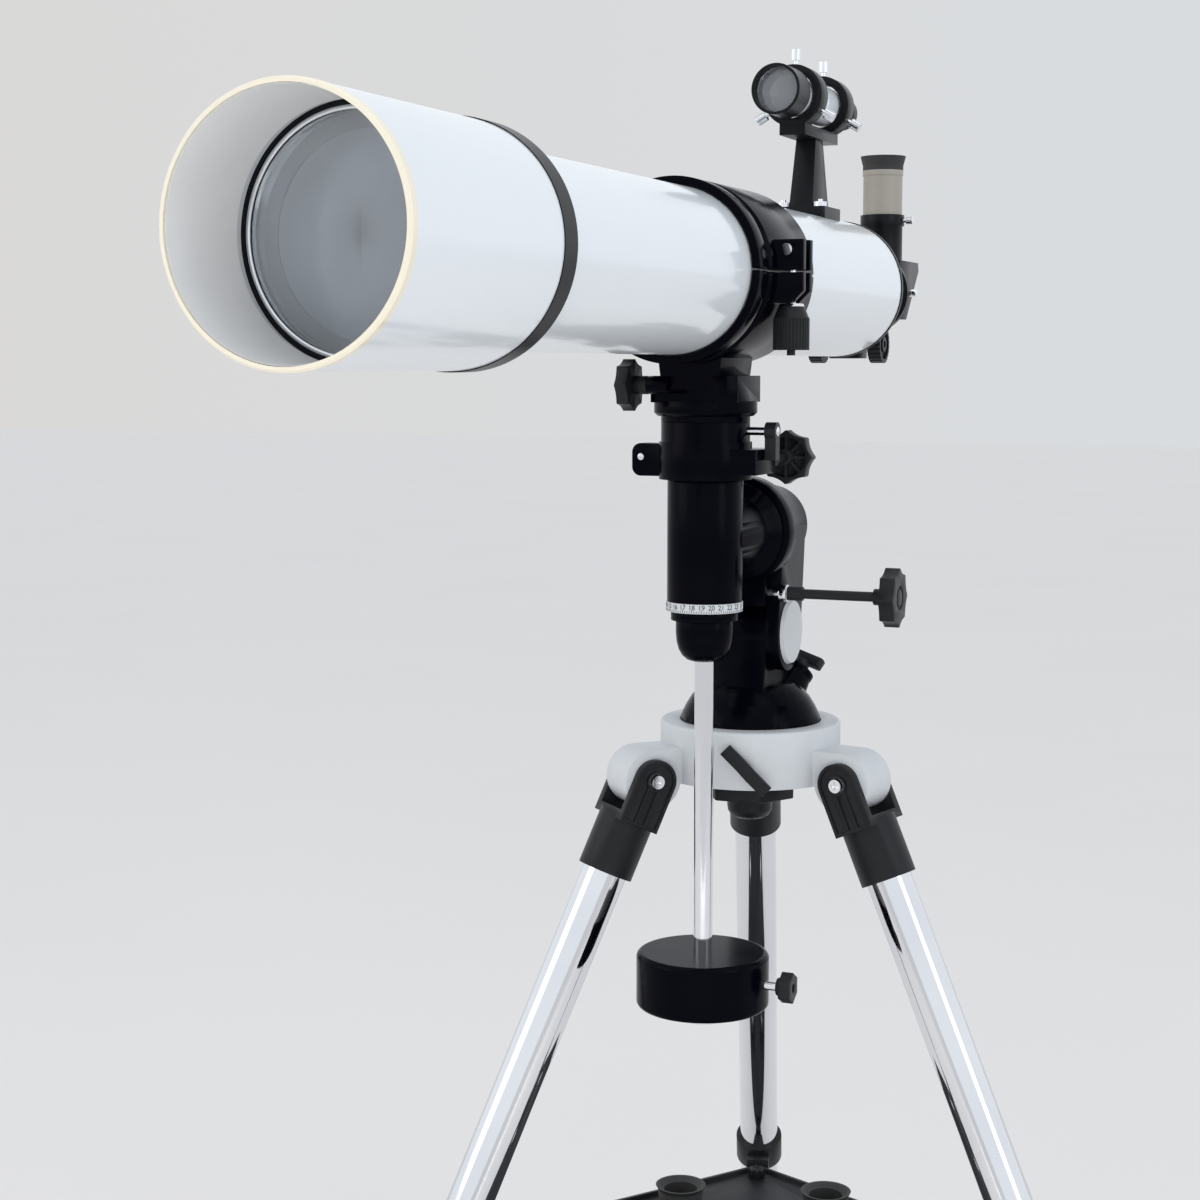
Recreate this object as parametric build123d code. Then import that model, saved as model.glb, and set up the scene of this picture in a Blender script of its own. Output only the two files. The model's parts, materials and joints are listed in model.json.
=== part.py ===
from build123d import *
from math import cos, pi, radians, sin
import os

# Refracting telescope on an equatorial mount and a three-legged stand.
# Millimetres, +Z up. The origin is on the floor under the middle of the stand.
# The optical tube lies along Y with its objective towards -Y.

# ---------------------------------------------------------------- general
FIT = 0.06               # radial clearance of a running fit
GAP = 0.35               # air between pieces that move past each other

# ---------------------------------------------------------------- stand
HUB_TOP = 867.0
HUB_H = 53.0
HUB_R = 85.4
HUB_BORE = 67.0
BOLT_R = 5.0
LEG_PIVOT_R = HUB_R + 26.5
LEG_PIVOT_Z = HUB_TOP - 47.4
LEG_ANGLES = (106.1, 226.1, 346.1)
LEG_NAMES = ("a", "b", "c")
LEG_SPREAD = 24.49
LEG_R = 21.0
LEG_WALL = 1.8
LEG_SLOPE = radians(LEG_SPREAD)
LEG_LENGTH = LEG_PIVOT_Z / cos(LEG_SLOPE)
LEG_TUBE_START = 40.0
LEG_TUBE_END = LEG_LENGTH - 240.6
LOWER_R = LEG_R - 4.0
LOWER_OVERLAP = 190.0    # length of the lower leg that stays in the upper one
LOWER_START = LEG_TUBE_END - LOWER_OVERLAP
FOOT_R = LOWER_R + 3.0
FOOT_LENGTH = 52.0
ARM_R = 28.0             # rounded end of the hub's arm over the leg pivot
FORK_LUG = 22.0          # half width of the hub's arm at the leg pivot
FORK_EAR = 8.0
EAR_R = 20.0
EAR_LENGTH = 45.0        # fork's ear from the pivot to its lower edge
POCKET = 2.5             # depth of the pocket in the face of each ear
SLEEVE_END = 95.0
TRAY_Z = 303.0
TRAY_T = 4.0
TRAY_RIM = 9.0
COLLAR_Z = TRAY_Z + 15.0
COLLAR_REACH = LEG_PIVOT_R + (LEG_PIVOT_Z - COLLAR_Z) * sin(LEG_SLOPE) / cos(LEG_SLOPE)
TRAY_OUT = COLLAR_REACH - 47.4
TRAY_IN = 0.84 * TRAY_OUT
TRAY_HOLE_AT = 0.618 * TRAY_OUT
TRAY_HOLE_TURN = 25.0
SPARE_H = 30.0           # stored eyepiece above the tray
TRAY_HOLE_PLAY = 0.33    # radial play of an eyepiece barrel in its hole

# ---------------------------------------------------------------- polar axis and base
BASE_H = 14.0            # height of the base's disc above the hub
BASE_R = HUB_BORE - 1.0
BASE_TOP = HUB_TOP + BASE_H
PIVOT_Z = HUB_TOP + 85.0
RA_RISE = 96.8           # polar axis above the latitude pivot
RA_Z = PIVOT_Z + RA_RISE
RA_R = 38.2
RA_REAR = 50.0
RA_DRUM_R = RA_R + 12.7
RA_DRUM_FRONT = -44.0
RA_DRUM_REAR = -20.0
RA_SHAFT_R = 20.0
RA_WORM_Y = -32.0
RA_WORM_R = 8.0
RA_WORM_DROP = RA_DRUM_R + 6.1
CHEEK = 12.0
CAP_R = 30.5
BOLT_AT = Vector(14, 30, BASE_TOP - 4)
BOLT_WAY = Vector(0.35, 0.6, 0.72).normalized()

# ---------------------------------------------------------------- declination axis and saddle
DEC_R = 33.5
DEC_Y = RA_DRUM_FRONT - DEC_R - 53.5
DEC_H = 108.0
DEC_RISE = 52.7          # top of the housing above the polar axis
DEC_SHAFT_R = 15.0
DEC_RING_R = DEC_R + 7.5
DEC_RING_H = 33.0
DEC_WORM_R = 7.0
DEC_WORM_X = DEC_RING_R + 4.0
DEC_EAR_X = DEC_WORM_X + DEC_WORM_R + 3.0
DEC_KNOB_Y = DEC_Y + 92.0
CIRCLE_H = 9.0
NECK_R = 39.3
NECK_H = 35.5
COLLAR_H = 17.0          # fixed collar above the worm ring, which carries the lock lever
SADDLE_W = 40.0
SADDLE_L = 38.0
SADDLE_H = 22.0
SADDLE_DISC_R = 45.5
SADDLE_DISC_H = 13.0
SADDLE_SOCKET = 16.0     # depth from inside the collar to the shaft's end in the saddle
SADDLE_KNOB_X = 64.0     # outer face of the saddle's hand knob
SADDLE_SCREW_Y = DEC_Y - SADDLE_L + 3.0
DOVE_TOP = 19.0
DOVE_BOTTOM = 22.0
DOVE_H = 13.0
DEC_TOP = RA_Z + DEC_RISE
DEC_LOW = DEC_TOP - DEC_H
RING_TOP = DEC_TOP + DEC_RING_H
COLLAR_TOP = RING_TOP + COLLAR_H
NECK_TOP = RING_TOP + NECK_H
SADDLE_TOP = NECK_TOP + SADDLE_H
SADDLE_SCREW_Z = SADDLE_TOP - 8
WORM_Z = RING_TOP - 17
DEC_LOCK_Z = RING_TOP + 9.5

# ---------------------------------------------------------------- counterweight
BAR_R = 8.6
BAR_LENGTH = 392.5
NUT_H = 8.0
WEIGHT_R = 60.0
WEIGHT_H = 50.0
CUP_TOP = DEC_LOW - CIRCLE_H - 8
BAR_END = CUP_TOP + 26 - BAR_LENGTH
WEIGHT_BOTTOM = BAR_END + NUT_H + 6.0

# ---------------------------------------------------------------- optical tube and rings
TUBE_R = 70.0
TUBE_WALL = 1.6
RING_WALL = 8.0
RING_R = TUBE_R + RING_WALL
RING_FRONT = DEC_Y - 88.0
RING_LENGTH = 152.0
LINER = 1.6
FOOT_H = 10.0            # foot of the tube ring above the saddle
LUG_Y = DEC_Y - 26.0
LUG_X = RING_R + 22.0
LUG_H = 26.5
CLAMP_X = RING_R + 8.0
AXIS_H = SADDLE_TOP + FOOT_H + RING_R
TUBE_LENGTH = 1006.0
TUBE_REAR = 271.0
TUBE_FRONT = TUBE_REAR - TUBE_LENGTH
TUBE_BORE = TUBE_R - TUBE_WALL
CELL_STEP = 22.0
CELL_FRONT = TUBE_FRONT - CELL_STEP
CELL_LENGTH = 40.0
SHIELD_R = TUBE_R + 12.6
SHIELD_WALL = 3.1
SHIELD_BORE = SHIELD_R - SHIELD_WALL
SHIELD_LENGTH = 233.4
MOUTH_DEPTH = 80.0       # plain bore of the dew shield in front of the lens cell
CELL_R = SHIELD_BORE + 0.6
SHIELD_FRONT = CELL_FRONT - 84.6
SHIELD_REAR = SHIELD_FRONT + SHIELD_LENGTH
TRIM_LENGTH = 23.4
RIM_LENGTH = 7.0
LENS_R = CELL_R - 6.5
LENS_GAP = 0.6

# ---------------------------------------------------------------- focuser and eyepiece
END_RING = 6.8
FOCUSER_LENGTH = 78.0
FOCUSER_REAR = TUBE_REAR + END_RING + FOCUSER_LENGTH
DRAW_R = 40.0
DRAW_WALL = 3.0
DRAW_LENGTH = 120.0
DRAW_REAR = FOCUSER_REAR + 44.2
DRAW_FRONT = DRAW_REAR - DRAW_LENGTH
MODULE = 1.0
PINION_TEETH = 16
PINION_R = MODULE * PINION_TEETH / 2
RACK_DEPTH = 7.5
RACK_BASE = DRAW_R + RACK_DEPTH
RACK_PITCH_Z = RACK_BASE + 1.25 * MODULE
PINION_Y = FOCUSER_REAR - 34.0
PINION_Z = AXIS_H - RACK_PITCH_Z - PINION_R
KNOB_R = 20.0
KNOB_LENGTH = 14.0
FOCUSER_R = DRAW_R + 4.5
KNOB_DROP = RACK_PITCH_Z + PINION_R - KNOB_R     # top of a focus knob below the tube axis
KNOB_CLEAR = (FOCUSER_R ** 2 - KNOB_DROP ** 2) ** 0.5 + 0.9
KNOB_SPREAD = KNOB_CLEAR + KNOB_LENGTH / 2       # middle of a focus knob from the tube axis
NOSE_R = 25.4            # two-inch barrel
BARREL_R = 15.87         # 1.25-inch barrel
DIAGONAL_FRONT = DRAW_REAR + 27
DIAGONAL_Y = DIAGONAL_FRONT + 27
DIAGONAL_W = NOSE_R + 2.6
DIAGONAL_TOP = 37.0
HOLDER_TOP = DIAGONAL_TOP + 51.0
EYEPIECE_R = 21.8
EYEPIECE_TOP = HOLDER_TOP + 65.0

# ---------------------------------------------------------------- finder
FINDER_Z = TUBE_R + 111.5    # above the optical axis
FINDER_R = 19.5
FINDER_CELL_R = FINDER_R + 4.5
FINDER_RING_R = FINDER_R + 10.0
FINDER_RING_T = 8.0
FINDER_RING_L = 22.0
FINDER_FRONT = TUBE_REAR - 212.0
FINDER_REAR = FINDER_FRONT + 226.0
FINDER_RINGS = (FINDER_FRONT + 65.0, FINDER_FRONT + 158.0)
FINDER_STALK_Y = FINDER_FRONT + 113.0


# ---------------------------------------------------------------- helpers
def rod(r, length, at, axis=(0, 0, 1)):
    """A round bar that starts at a point and runs along an axis."""
    bar = Cylinder(r, length, align=(Align.CENTER, Align.CENTER, Align.MIN))
    return Plane(origin=at, z_dir=axis) * bar


def pipe(r, bore, length, at, axis=(0, 0, 1)):
    """A round tube with an open bore."""
    x, y, z = (at[i] - axis[i] for i in range(3))
    return rod(r, length, at, axis) - rod(bore, length + 2, (x, y, z), axis)


def cone(r0, r1, length, at, axis=(0, 0, 1)):
    """A truncated cone, r0 at its start."""
    body = Cone(r0, r1, length, align=(Align.CENTER, Align.CENTER, Align.MIN))
    return Plane(origin=at, z_dir=axis) * body


def block(x0, x1, y0, y1, z0, z1):
    """A box between two corners."""
    body = Box(x1 - x0, y1 - y0, z1 - z0, align=(Align.MIN, Align.MIN, Align.MIN))
    return Pos(x0, y0, z0) * body


def turned(points, at, axis=(0, 0, 1)):
    """A turned solid from (radius, distance) points."""
    face = make_face(Polyline([(r, 0, s) for r, s in points], close=True))
    return Plane(origin=at, z_dir=axis) * revolve(face, Axis.Z)


def prism_x(points, x0, x1):
    """A (y, z) outline drawn out from x0 to x1."""
    face = make_face(Polyline([(x0, y, z) for y, z in points], close=True))
    return extrude(face, x1 - x0, dir=(1, 0, 0))


def prism_y(points, y0, y1):
    """An (x, z) outline drawn out from y0 to y1."""
    face = make_face(Polyline([(x, y0, z) for x, z in points], close=True))
    return extrude(face, y1 - y0, dir=(0, 1, 0))


def fluted(r, length, at, axis, flutes, depth, bore=0):
    """A round grip with flutes cut along it."""
    grip = Cylinder(r, length, align=(Align.CENTER, Align.CENTER, Align.MIN))
    cut = Cylinder(depth, length + 2, align=(Align.CENTER, Align.CENTER, Align.CENTER))
    for i in range(flutes):
        a = 2 * pi * i / flutes
        grip -= Pos(r * cos(a), r * sin(a), length / 2) * cut
    if bore:
        grip -= Cylinder(bore, 3 * length)
    return Plane(origin=at, z_dir=axis) * grip


def lobed(r, length, at, axis, bore=0, lobes=8, dip=0.125):
    """A flat hand knob with shallow hollow sides between its lobes."""
    half = 0.9 * pi / lobes
    flat = r * (1 - dip)
    rise = r * cos(half) - flat
    hollow = (rise * rise + (r * sin(half)) ** 2) / (2 * rise)
    grip = Cylinder(r, length, align=(Align.CENTER, Align.CENTER, Align.MIN))
    for i in range(lobes):
        a = 2 * pi * (i + 0.5) / lobes
        out = flat + hollow
        grip -= Pos(out * cos(a), out * sin(a), length / 2) * Cylinder(hollow, length + 2)
    if bore:
        grip -= Cylinder(bore, 3 * length)
    return Plane(origin=at, z_dir=axis) * grip


def save(name, *solids):
    """One STEP file for one node."""
    shapes = [s for solid in solids for s in solid.solids()]
    whole = shapes[0] if len(shapes) == 1 else Compound(children=shapes)
    export_step(whole, f"parts/{name}.step")


# ---------------------------------------------------------------- optical tube
Z = AXIS_H
Y_AXIS = (0, 1, 0)


def lens(r, front, edge, bulge_front, bulge_back):
    """A lens with two spherical faces about the tube axis; a negative bulge is a hollow face."""
    rim = edge + max(bulge_front, 0) + max(bulge_back, 0)
    body = rod(r, rim, (0, 0, front - max(bulge_front, 0)))
    for bulge, face, way in ((bulge_front, front, 1), (bulge_back, front + edge, -1)):
        if bulge == 0:
            continue
        depth = abs(bulge)
        ball = (r * r + depth * depth) / (2 * depth)
        if bulge > 0:
            body &= Pos(0, 0, face + way * (ball - depth)) * Sphere(ball)
        else:
            body -= Pos(0, 0, face + way * (depth - ball)) * Sphere(ball)
    return body


def optical_tube():
    save("main_tube", pipe(TUBE_R, TUBE_BORE, TUBE_REAR - TUBE_FRONT, (0, TUBE_FRONT, Z), Y_AXIS))
    full = SHIELD_REAR - SHIELD_FRONT
    back = full - TRIM_LENGTH
    shield = turned([(SHIELD_BORE, 0), (SHIELD_R - 1, 0), (SHIELD_R + 0.4, 1.4), (SHIELD_R + 0.4, RIM_LENGTH),
                     (SHIELD_R, RIM_LENGTH), (SHIELD_R, back), (CELL_R, back), (CELL_R, MOUTH_DEPTH),
                     (SHIELD_BORE, MOUTH_DEPTH)],
                    (0, SHIELD_FRONT, Z), Y_AXIS)
    save("dew_shield", shield)
    trim = turned([(CELL_R, 0), (SHIELD_R + 0.8, 0), (SHIELD_R + 0.8, TRIM_LENGTH - 3),
                   (SHIELD_R - 2, TRIM_LENGTH), (TUBE_R, TRIM_LENGTH), (TUBE_R, TRIM_LENGTH - 5),
                   (CELL_R, TRIM_LENGTH - 5)], (0, SHIELD_FRONT + back, Z), Y_AXIS)
    save("dew_shield_trim", trim)
    step = TUBE_FRONT - CELL_FRONT
    cell = turned([(LENS_R + 0.1, 2), (LENS_R + 3, 0), (CELL_R, 0), (CELL_R, 12),
                   (TUBE_R + 5, CELL_LENGTH), (TUBE_R, CELL_LENGTH), (TUBE_R, step), (TUBE_BORE, step),
                   (TUBE_BORE - 4, step), (TUBE_BORE - 4, step - 2), (LENS_R + 0.1, step - 2)],
                  (0, CELL_FRONT, Z), Y_AXIS)
    save("lens_cell", cell)
    crown = lens(LENS_R, 2.2, 6.0, 1.8, 2.2)
    flint = lens(LENS_R, 2.2 + 6 + 2.2 + LENS_GAP, 6.4, -2.0, 0.6)
    at = Plane(origin=(0, CELL_FRONT, Z), z_dir=Y_AXIS)
    front_lens = Plane(origin=(0, FINDER_FRONT + 11, Z + FINDER_Z), z_dir=Y_AXIS) * lens(
        FINDER_CELL_R - 2.5, 0, 3.5, 1.2, 0)
    eye_lens = rod(9, 3, (0, FINDER_REAR - 13, Z + FINDER_Z), Y_AXIS)
    save("tube_lenses", at * crown, at * flint, front_lens, eye_lens)
    baffles = []
    for y, hole in ((-420.0, 54.0), (-120.0, 44.0), (140.0, 41.0)):
        baffles.append(pipe(TUBE_BORE, hole, 2, (0, y, Z), Y_AXIS))
    save("tube_baffles", *baffles)


# ---------------------------------------------------------------- focuser
def focuser():
    front = TUBE_REAR
    rear = FOCUSER_REAR - front
    shell = turned([(TUBE_R, 0), (TUBE_R + 0.8, 1), (TUBE_R + 0.8, END_RING), (TUBE_R - 4, END_RING),
                    (FOCUSER_R, 26), (FOCUSER_R, rear), (DRAW_R + FIT, rear), (DRAW_R + FIT, 20),
                    (TUBE_BORE - 4, 4), (TUBE_BORE - 4, -12), (TUBE_BORE, -12), (TUBE_BORE, 0)],
                   (0, front, Z), Y_AXIS)
    low = PINION_Z - PINION_R - 7
    shell += block(-16, 16, PINION_Y - 17, PINION_Y + 17, low, Z - DRAW_R - 4)
    shell -= rod(DRAW_R + FIT, 200, (0, front + 19, Z), Y_AXIS)
    slot = 7 + GAP
    shell -= block(-slot, slot, front + 10, FOCUSER_REAR + 2, Z - RACK_PITCH_Z - MODULE - 1, Z - DRAW_R + 6)
    shell -= rod(PINION_R + MODULE + 0.6, 2 * slot, (-slot, PINION_Y, PINION_Z), (1, 0, 0))
    shell -= rod(4 + FIT, 60, (-30, PINION_Y, PINION_Z), (1, 0, 0))
    save("focuser_housing", shell)


def thumb_screw(r, length, grip_r, grip, at, axis):
    """A plain stem with a knurled head at its far end."""
    x, y, z = (at[i] + axis[i] * (length - 1) for i in range(3))
    return rod(r, length, at, axis) + fluted(grip_r, grip, (x, y, z), axis, 12, 0.7)


def rack():
    """Toothed bar under the drawtube."""
    pitch = pi * MODULE
    y0 = DRAW_FRONT + 8
    teeth = int((DRAW_REAR - 12 - y0) / pitch)
    # a tooth space of the rack lies on the pinion's axis at rest
    start = PINION_Y + pitch / 2 - pitch * round((PINION_Y - y0) / pitch)
    base = Z - RACK_BASE
    body = block(-7, 7, start - pitch, start + (teeth + 1) * pitch, base, Z - DRAW_R + 1.5)
    for i in range(teeth):
        y = start + i * pitch
        body += prism_x([(y - 0.95, base + 0.3), (y + 0.95, base + 0.3), (y + 0.45, base - 2.0),
                         (y - 0.45, base - 2.0)], -7, 7)
    return body


def pinion_gear():
    """Pinion with one tooth pointing up at the rack."""
    root = PINION_R - 1.25 * MODULE
    outline = rod(root, 13, (-6.5, PINION_Y, PINION_Z), (1, 0, 0))
    flank = [(-0.95, root - 0.4), (0.95, root - 0.4), (0.40, PINION_R + 0.8), (-0.40, PINION_R + 0.8)]
    tooth = prism_x(flank,
                    -6.5, 6.5)
    for i in range(PINION_TEETH):
        turned_tooth = Rot(360.0 * i / PINION_TEETH, 0, 0) * tooth
        outline += Pos(0, PINION_Y, PINION_Z) * turned_tooth
    return outline


def drawtube():
    tube = pipe(DRAW_R, DRAW_R - DRAW_WALL, DRAW_REAR - DRAW_FRONT, (0, DRAW_FRONT, Z), Y_AXIS)
    tube -= block(-7, 7, DRAW_FRONT - 1, DRAW_REAR + 1, Z - DRAW_R - 2, Z - DRAW_R + 1.5)
    save("drawtube", tube, rack())
    adapter = turned([(DRAW_R - DRAW_WALL, 0), (DRAW_R + 4, 0), (DRAW_R + 4, 9), (NOSE_R + 7, 12),
                      (NOSE_R + 7, 26), (NOSE_R + FIT, 26), (NOSE_R + FIT, 8), (DRAW_R - DRAW_WALL, 8)],
                     (0, DRAW_REAR, Z), Y_AXIS)
    save("diagonal_holder", adapter)
    gear = pinion_gear() + rod(4, 2 * KNOB_SPREAD + 8, (-KNOB_SPREAD - 4, PINION_Y, PINION_Z), (1, 0, 0))
    save("focus_pinion", gear)
    knobs = []
    for side in (-1, 1):
        start = side * (KNOB_SPREAD - KNOB_LENGTH / 2)
        grip = fluted(KNOB_R, KNOB_LENGTH, (start, PINION_Y, PINION_Z), (side, 0, 0), 24, 1.1, 4)
        face = side * (KNOB_SPREAD + KNOB_LENGTH / 2 - 3)
        dish = pipe(KNOB_R - 4, 8, 4, (face, PINION_Y, PINION_Z), (side, 0, 0))
        knobs.append(grip - dish)
    save("focus_knobs", *knobs)


# ---------------------------------------------------------------- diagonal and eyepiece
def diagonal():
    y, t, w = DIAGONAL_Y, DIAGONAL_TOP, DIAGONAL_W
    low = 28.0
    profile = [(DIAGONAL_FRONT, Z - low), (y + 5, Z - low), (y + 58, Z + t - 9), (y + 55, Z + t),
               (DIAGONAL_FRONT, Z + t)]
    body = prism_x(profile, -w, w)
    body += rod(NOSE_R, DIAGONAL_FRONT - DRAW_REAR - 8.5, (0, DRAW_REAR + 8.5, Z), Y_AXIS)
    body += rod(22.6, HOLDER_TOP - 12 - t, (0, y, Z + t))
    body += rod(24.5, 12, (0, y, Z + HOLDER_TOP - 12))
    body -= rod(NOSE_R - 3, 45, (0, DRAW_REAR + 5, Z), Y_AXIS)
    body -= rod(BARREL_R + FIT, HOLDER_TOP + 2, (0, y, Z))
    # a slanted pocket holds the mirror at 45 degrees behind the crossing of the two axes
    slant = Plane(origin=(0, y, Z), x_dir=(1, 0, 0), z_dir=(0, 1, -1))
    body -= slant * Box(40, 54, 7, align=(Align.CENTER, Align.CENTER, Align.MIN))
    body -= rod(2.5 + FIT, 20, (BARREL_R, y, Z + HOLDER_TOP - 6), (1, 0, 0))
    save("diagonal_body", body)
    on_top = (Align.CENTER, Align.CENTER, Align.MIN)
    save("diagonal_mirror", slant * Pos(0, 0, 2) * Box(39.6, 53.6, 5, align=on_top))
    screw = rod(2.5, 14, (BARREL_R + GAP, y, Z + HOLDER_TOP - 6), (1, 0, 0))
    screw += fluted(4.2, 7, (BARREL_R + GAP + 11.5, y, Z + HOLDER_TOP - 6), (1, 0, 0), 10, 0.6)
    save("eyepiece_set_screw", screw)


def eyepiece_body(at_x, at_y, seat, top, r):
    """Barrel, body and shoulder of an eyepiece that hangs in a hole, hollow all through."""
    h = top - seat
    wall = 2.2
    return turned([(BARREL_R - 1.2, -28), (BARREL_R, -28), (BARREL_R, 0), (r, 0.4),
                   (r, 0.66 * h), (r + 0.8, 0.68 * h),
                   (r + 0.8, 0.76 * h), (r - wall - 3, 0.76 * h), (r - wall - 3, 6), (BARREL_R - 1.2, 4)],
                  (at_x, at_y, seat))


def eyecup(at_x, at_y, seat, top, r):
    """Soft rubber cup on the eye end."""
    h = top - seat
    return turned([(r - 5.2, 0.76 * h), (r + 0.7, 0.76 * h), (r + 0.7, 0.84 * h), (r + 3.4, h), (r + 1.0, h),
                   (r - 3.5, 0.86 * h), (r - 5.2, 0.85 * h)], (at_x, at_y, seat))


def eyepiece_lens(at_x, at_y, seat, top, r):
    """Eye lens at the top of the body and field lens in the barrel."""
    h = top - seat
    eye = turned([(0, 0.70 * h), (r - 5.2, 0.72 * h), (r - 5.2, 0.76 * h), (0, 0.80 * h)], (at_x, at_y, seat))
    field = rod(BARREL_R - 1.2, 4, (at_x, at_y, seat - 18))
    return [eye, field]


def eyepiece():
    place = (0, DIAGONAL_Y, Z + HOLDER_TOP, Z + EYEPIECE_TOP, EYEPIECE_R)
    save("eyepiece_body", eyepiece_body(*place))
    save("eyepiece_eyecup", eyecup(*place))
    save("eyepiece_lenses", *eyepiece_lens(*place))


# ---------------------------------------------------------------- finder
def finder():
    z = Z + FINDER_Z
    front, rear = FINDER_FRONT, FINDER_REAR
    body = pipe(FINDER_R, FINDER_R - 1.5, rear - 38 - front - 41, (0, front + 41, z), Y_AXIS)
    save("finder_tube", body)
    cell = turned([(FINDER_CELL_R - 2.5, 0), (FINDER_CELL_R - 0.6, 0), (FINDER_CELL_R, 0.6),
                   (FINDER_CELL_R, 36),
                   (FINDER_R, 41), (FINDER_R - 1.5, 41), (FINDER_R - 1.5, 16), (FINDER_CELL_R - 2.5, 16)],
                  (0, front, z), Y_AXIS)
    back = rear - 38
    eye = turned([(FINDER_R - 1.5, 0), (FINDER_R, 0), (FINDER_R + 1, 1), (FINDER_R + 1, 10),
                  (15, 13), (15, 24),
                  (17, 26), (17, 38), (11, 38), (11, 30), (9, 30), (9, 4), (FINDER_R - 1.5, 4)],
                 (0, back, z), Y_AXIS)
    save("finder_end_cells", cell, eye)
    tube_top = Z + TUBE_R
    plate_z = z - FINDER_RING_R - 3
    y0, y1 = FINDER_RINGS[0] - 10, FINDER_RINGS[1] + 10
    bracket = block(-13, 13, y0, y1, plate_z - 5, plate_z + 6)
    for y in FINDER_RINGS:
        bracket += pipe(FINDER_RING_R, FINDER_RING_R - FINDER_RING_T, FINDER_RING_L,
                        (0, y - FINDER_RING_L / 2, z), Y_AXIS)
    bracket -= rod(FINDER_RING_R - FINDER_RING_T, 300, (0, FINDER_RINGS[0] - 100, z), Y_AXIS)
    s = FINDER_STALK_Y
    low = Plane(origin=(0, s, tube_top + 6)) * Rectangle(24, 56)
    high = Plane(origin=(0, s, plate_z - 4)) * Rectangle(20, 24)
    bracket += loft([low.face(), high.face()])
    foot = block(-25, 25, s - 32, s + 30, tube_top - 8, tube_top + 7)
    bracket += fillet(foot.edges().filter_by(Axis.Z), 5)
    bracket -= rod(TUBE_R, 200, (0, s - 100, Z), Y_AXIS)
    screws = []
    for y in FINDER_RINGS:
        for a in (90, -30, 210):
            d = (cos(radians(a)), 0, sin(radians(a)))
            bracket -= Plane(origin=(0, y, z), z_dir=d) * Cylinder(
                2.2, 60, align=(Align.CENTER, Align.CENTER, Align.MIN))
            tip = FINDER_R
            start = (d[0] * tip, y, z + d[2] * tip)
            screws.append(thumb_screw(2.2, 16, 5, 10, start, d))
    save("finder_bracket", bracket)
    for side in (-1, 1):
        at = (side * 19, s - 24, tube_top + 7)
        screws.append(rod(2.5, 7, at) + fluted(6.5, 4.5, at, (0, 0, 1), 16, 0.6))
    top = (0, FOCUSER_REAR - 10, Z + FOCUSER_R)
    screws.append(thumb_screw(3, 7, 6, 8, top, (0, 0, 1)))
    save("tube_thumb_screws", *screws)


# ---------------------------------------------------------------- tube rings
DOVETAIL = [(-DOVE_TOP, SADDLE_TOP), (DOVE_TOP, SADDLE_TOP), (DOVE_BOTTOM, SADDLE_TOP - DOVE_H),
            (-DOVE_BOTTOM, SADDLE_TOP - DOVE_H)]
LUG_SPLIT = 2.0
HINGE_SPREAD = 9.0


def ring_half(sign):
    """Half of the long clamp ring, above (+1) or below (-1) the split."""
    band = turned([(TUBE_R + LINER, 0), (RING_R, 0), (RING_R, 20), (RING_R - 2.5, 22), (RING_R - 2.5, 32),
                   (RING_R, 34), (RING_R, RING_LENGTH), (TUBE_R + LINER, RING_LENGTH)],
                  (0, RING_FRONT, Z), Y_AXIS)
    for side in (-1, 1):
        lug = block(min(side * 70, side * LUG_X), max(side * 70, side * LUG_X), LUG_Y - 14, LUG_Y + 14,
                    Z - LUG_H, Z + LUG_H)
        band += lug - rod(TUBE_R + LINER, 60, (0, LUG_Y - 30, Z), Y_AXIS)
    z0, z1 = (Z + LUG_SPLIT / 2, Z + 100) if sign > 0 else (Z - 100, Z - LUG_SPLIT / 2)
    band = band & block(-120, 120, RING_FRONT - 5, RING_FRONT + RING_LENGTH + 5, z0, z1)
    # the outer lower corner of the clamp lug is cut back so the clamp knob swings past it
    for y in (LUG_Y - HINGE_SPREAD, LUG_Y + HINGE_SPREAD):
        band -= rod(3, 4 * LUG_H, (-CLAMP_X, y, Z - 2 * LUG_H))
    corner = [(LUG_X - 11, Z - LUG_H - 1), (LUG_X + 1, Z - LUG_H - 1), (LUG_X + 1, Z - LUG_H + 11)]
    return band - prism_y(corner, LUG_Y - 20, LUG_Y + 20)


def dovetail():
    """Dovetail bar under the ring's foot, which the saddle grips."""
    return prism_y(DOVETAIL, DEC_Y - SADDLE_L, DEC_Y + SADDLE_L)


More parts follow.
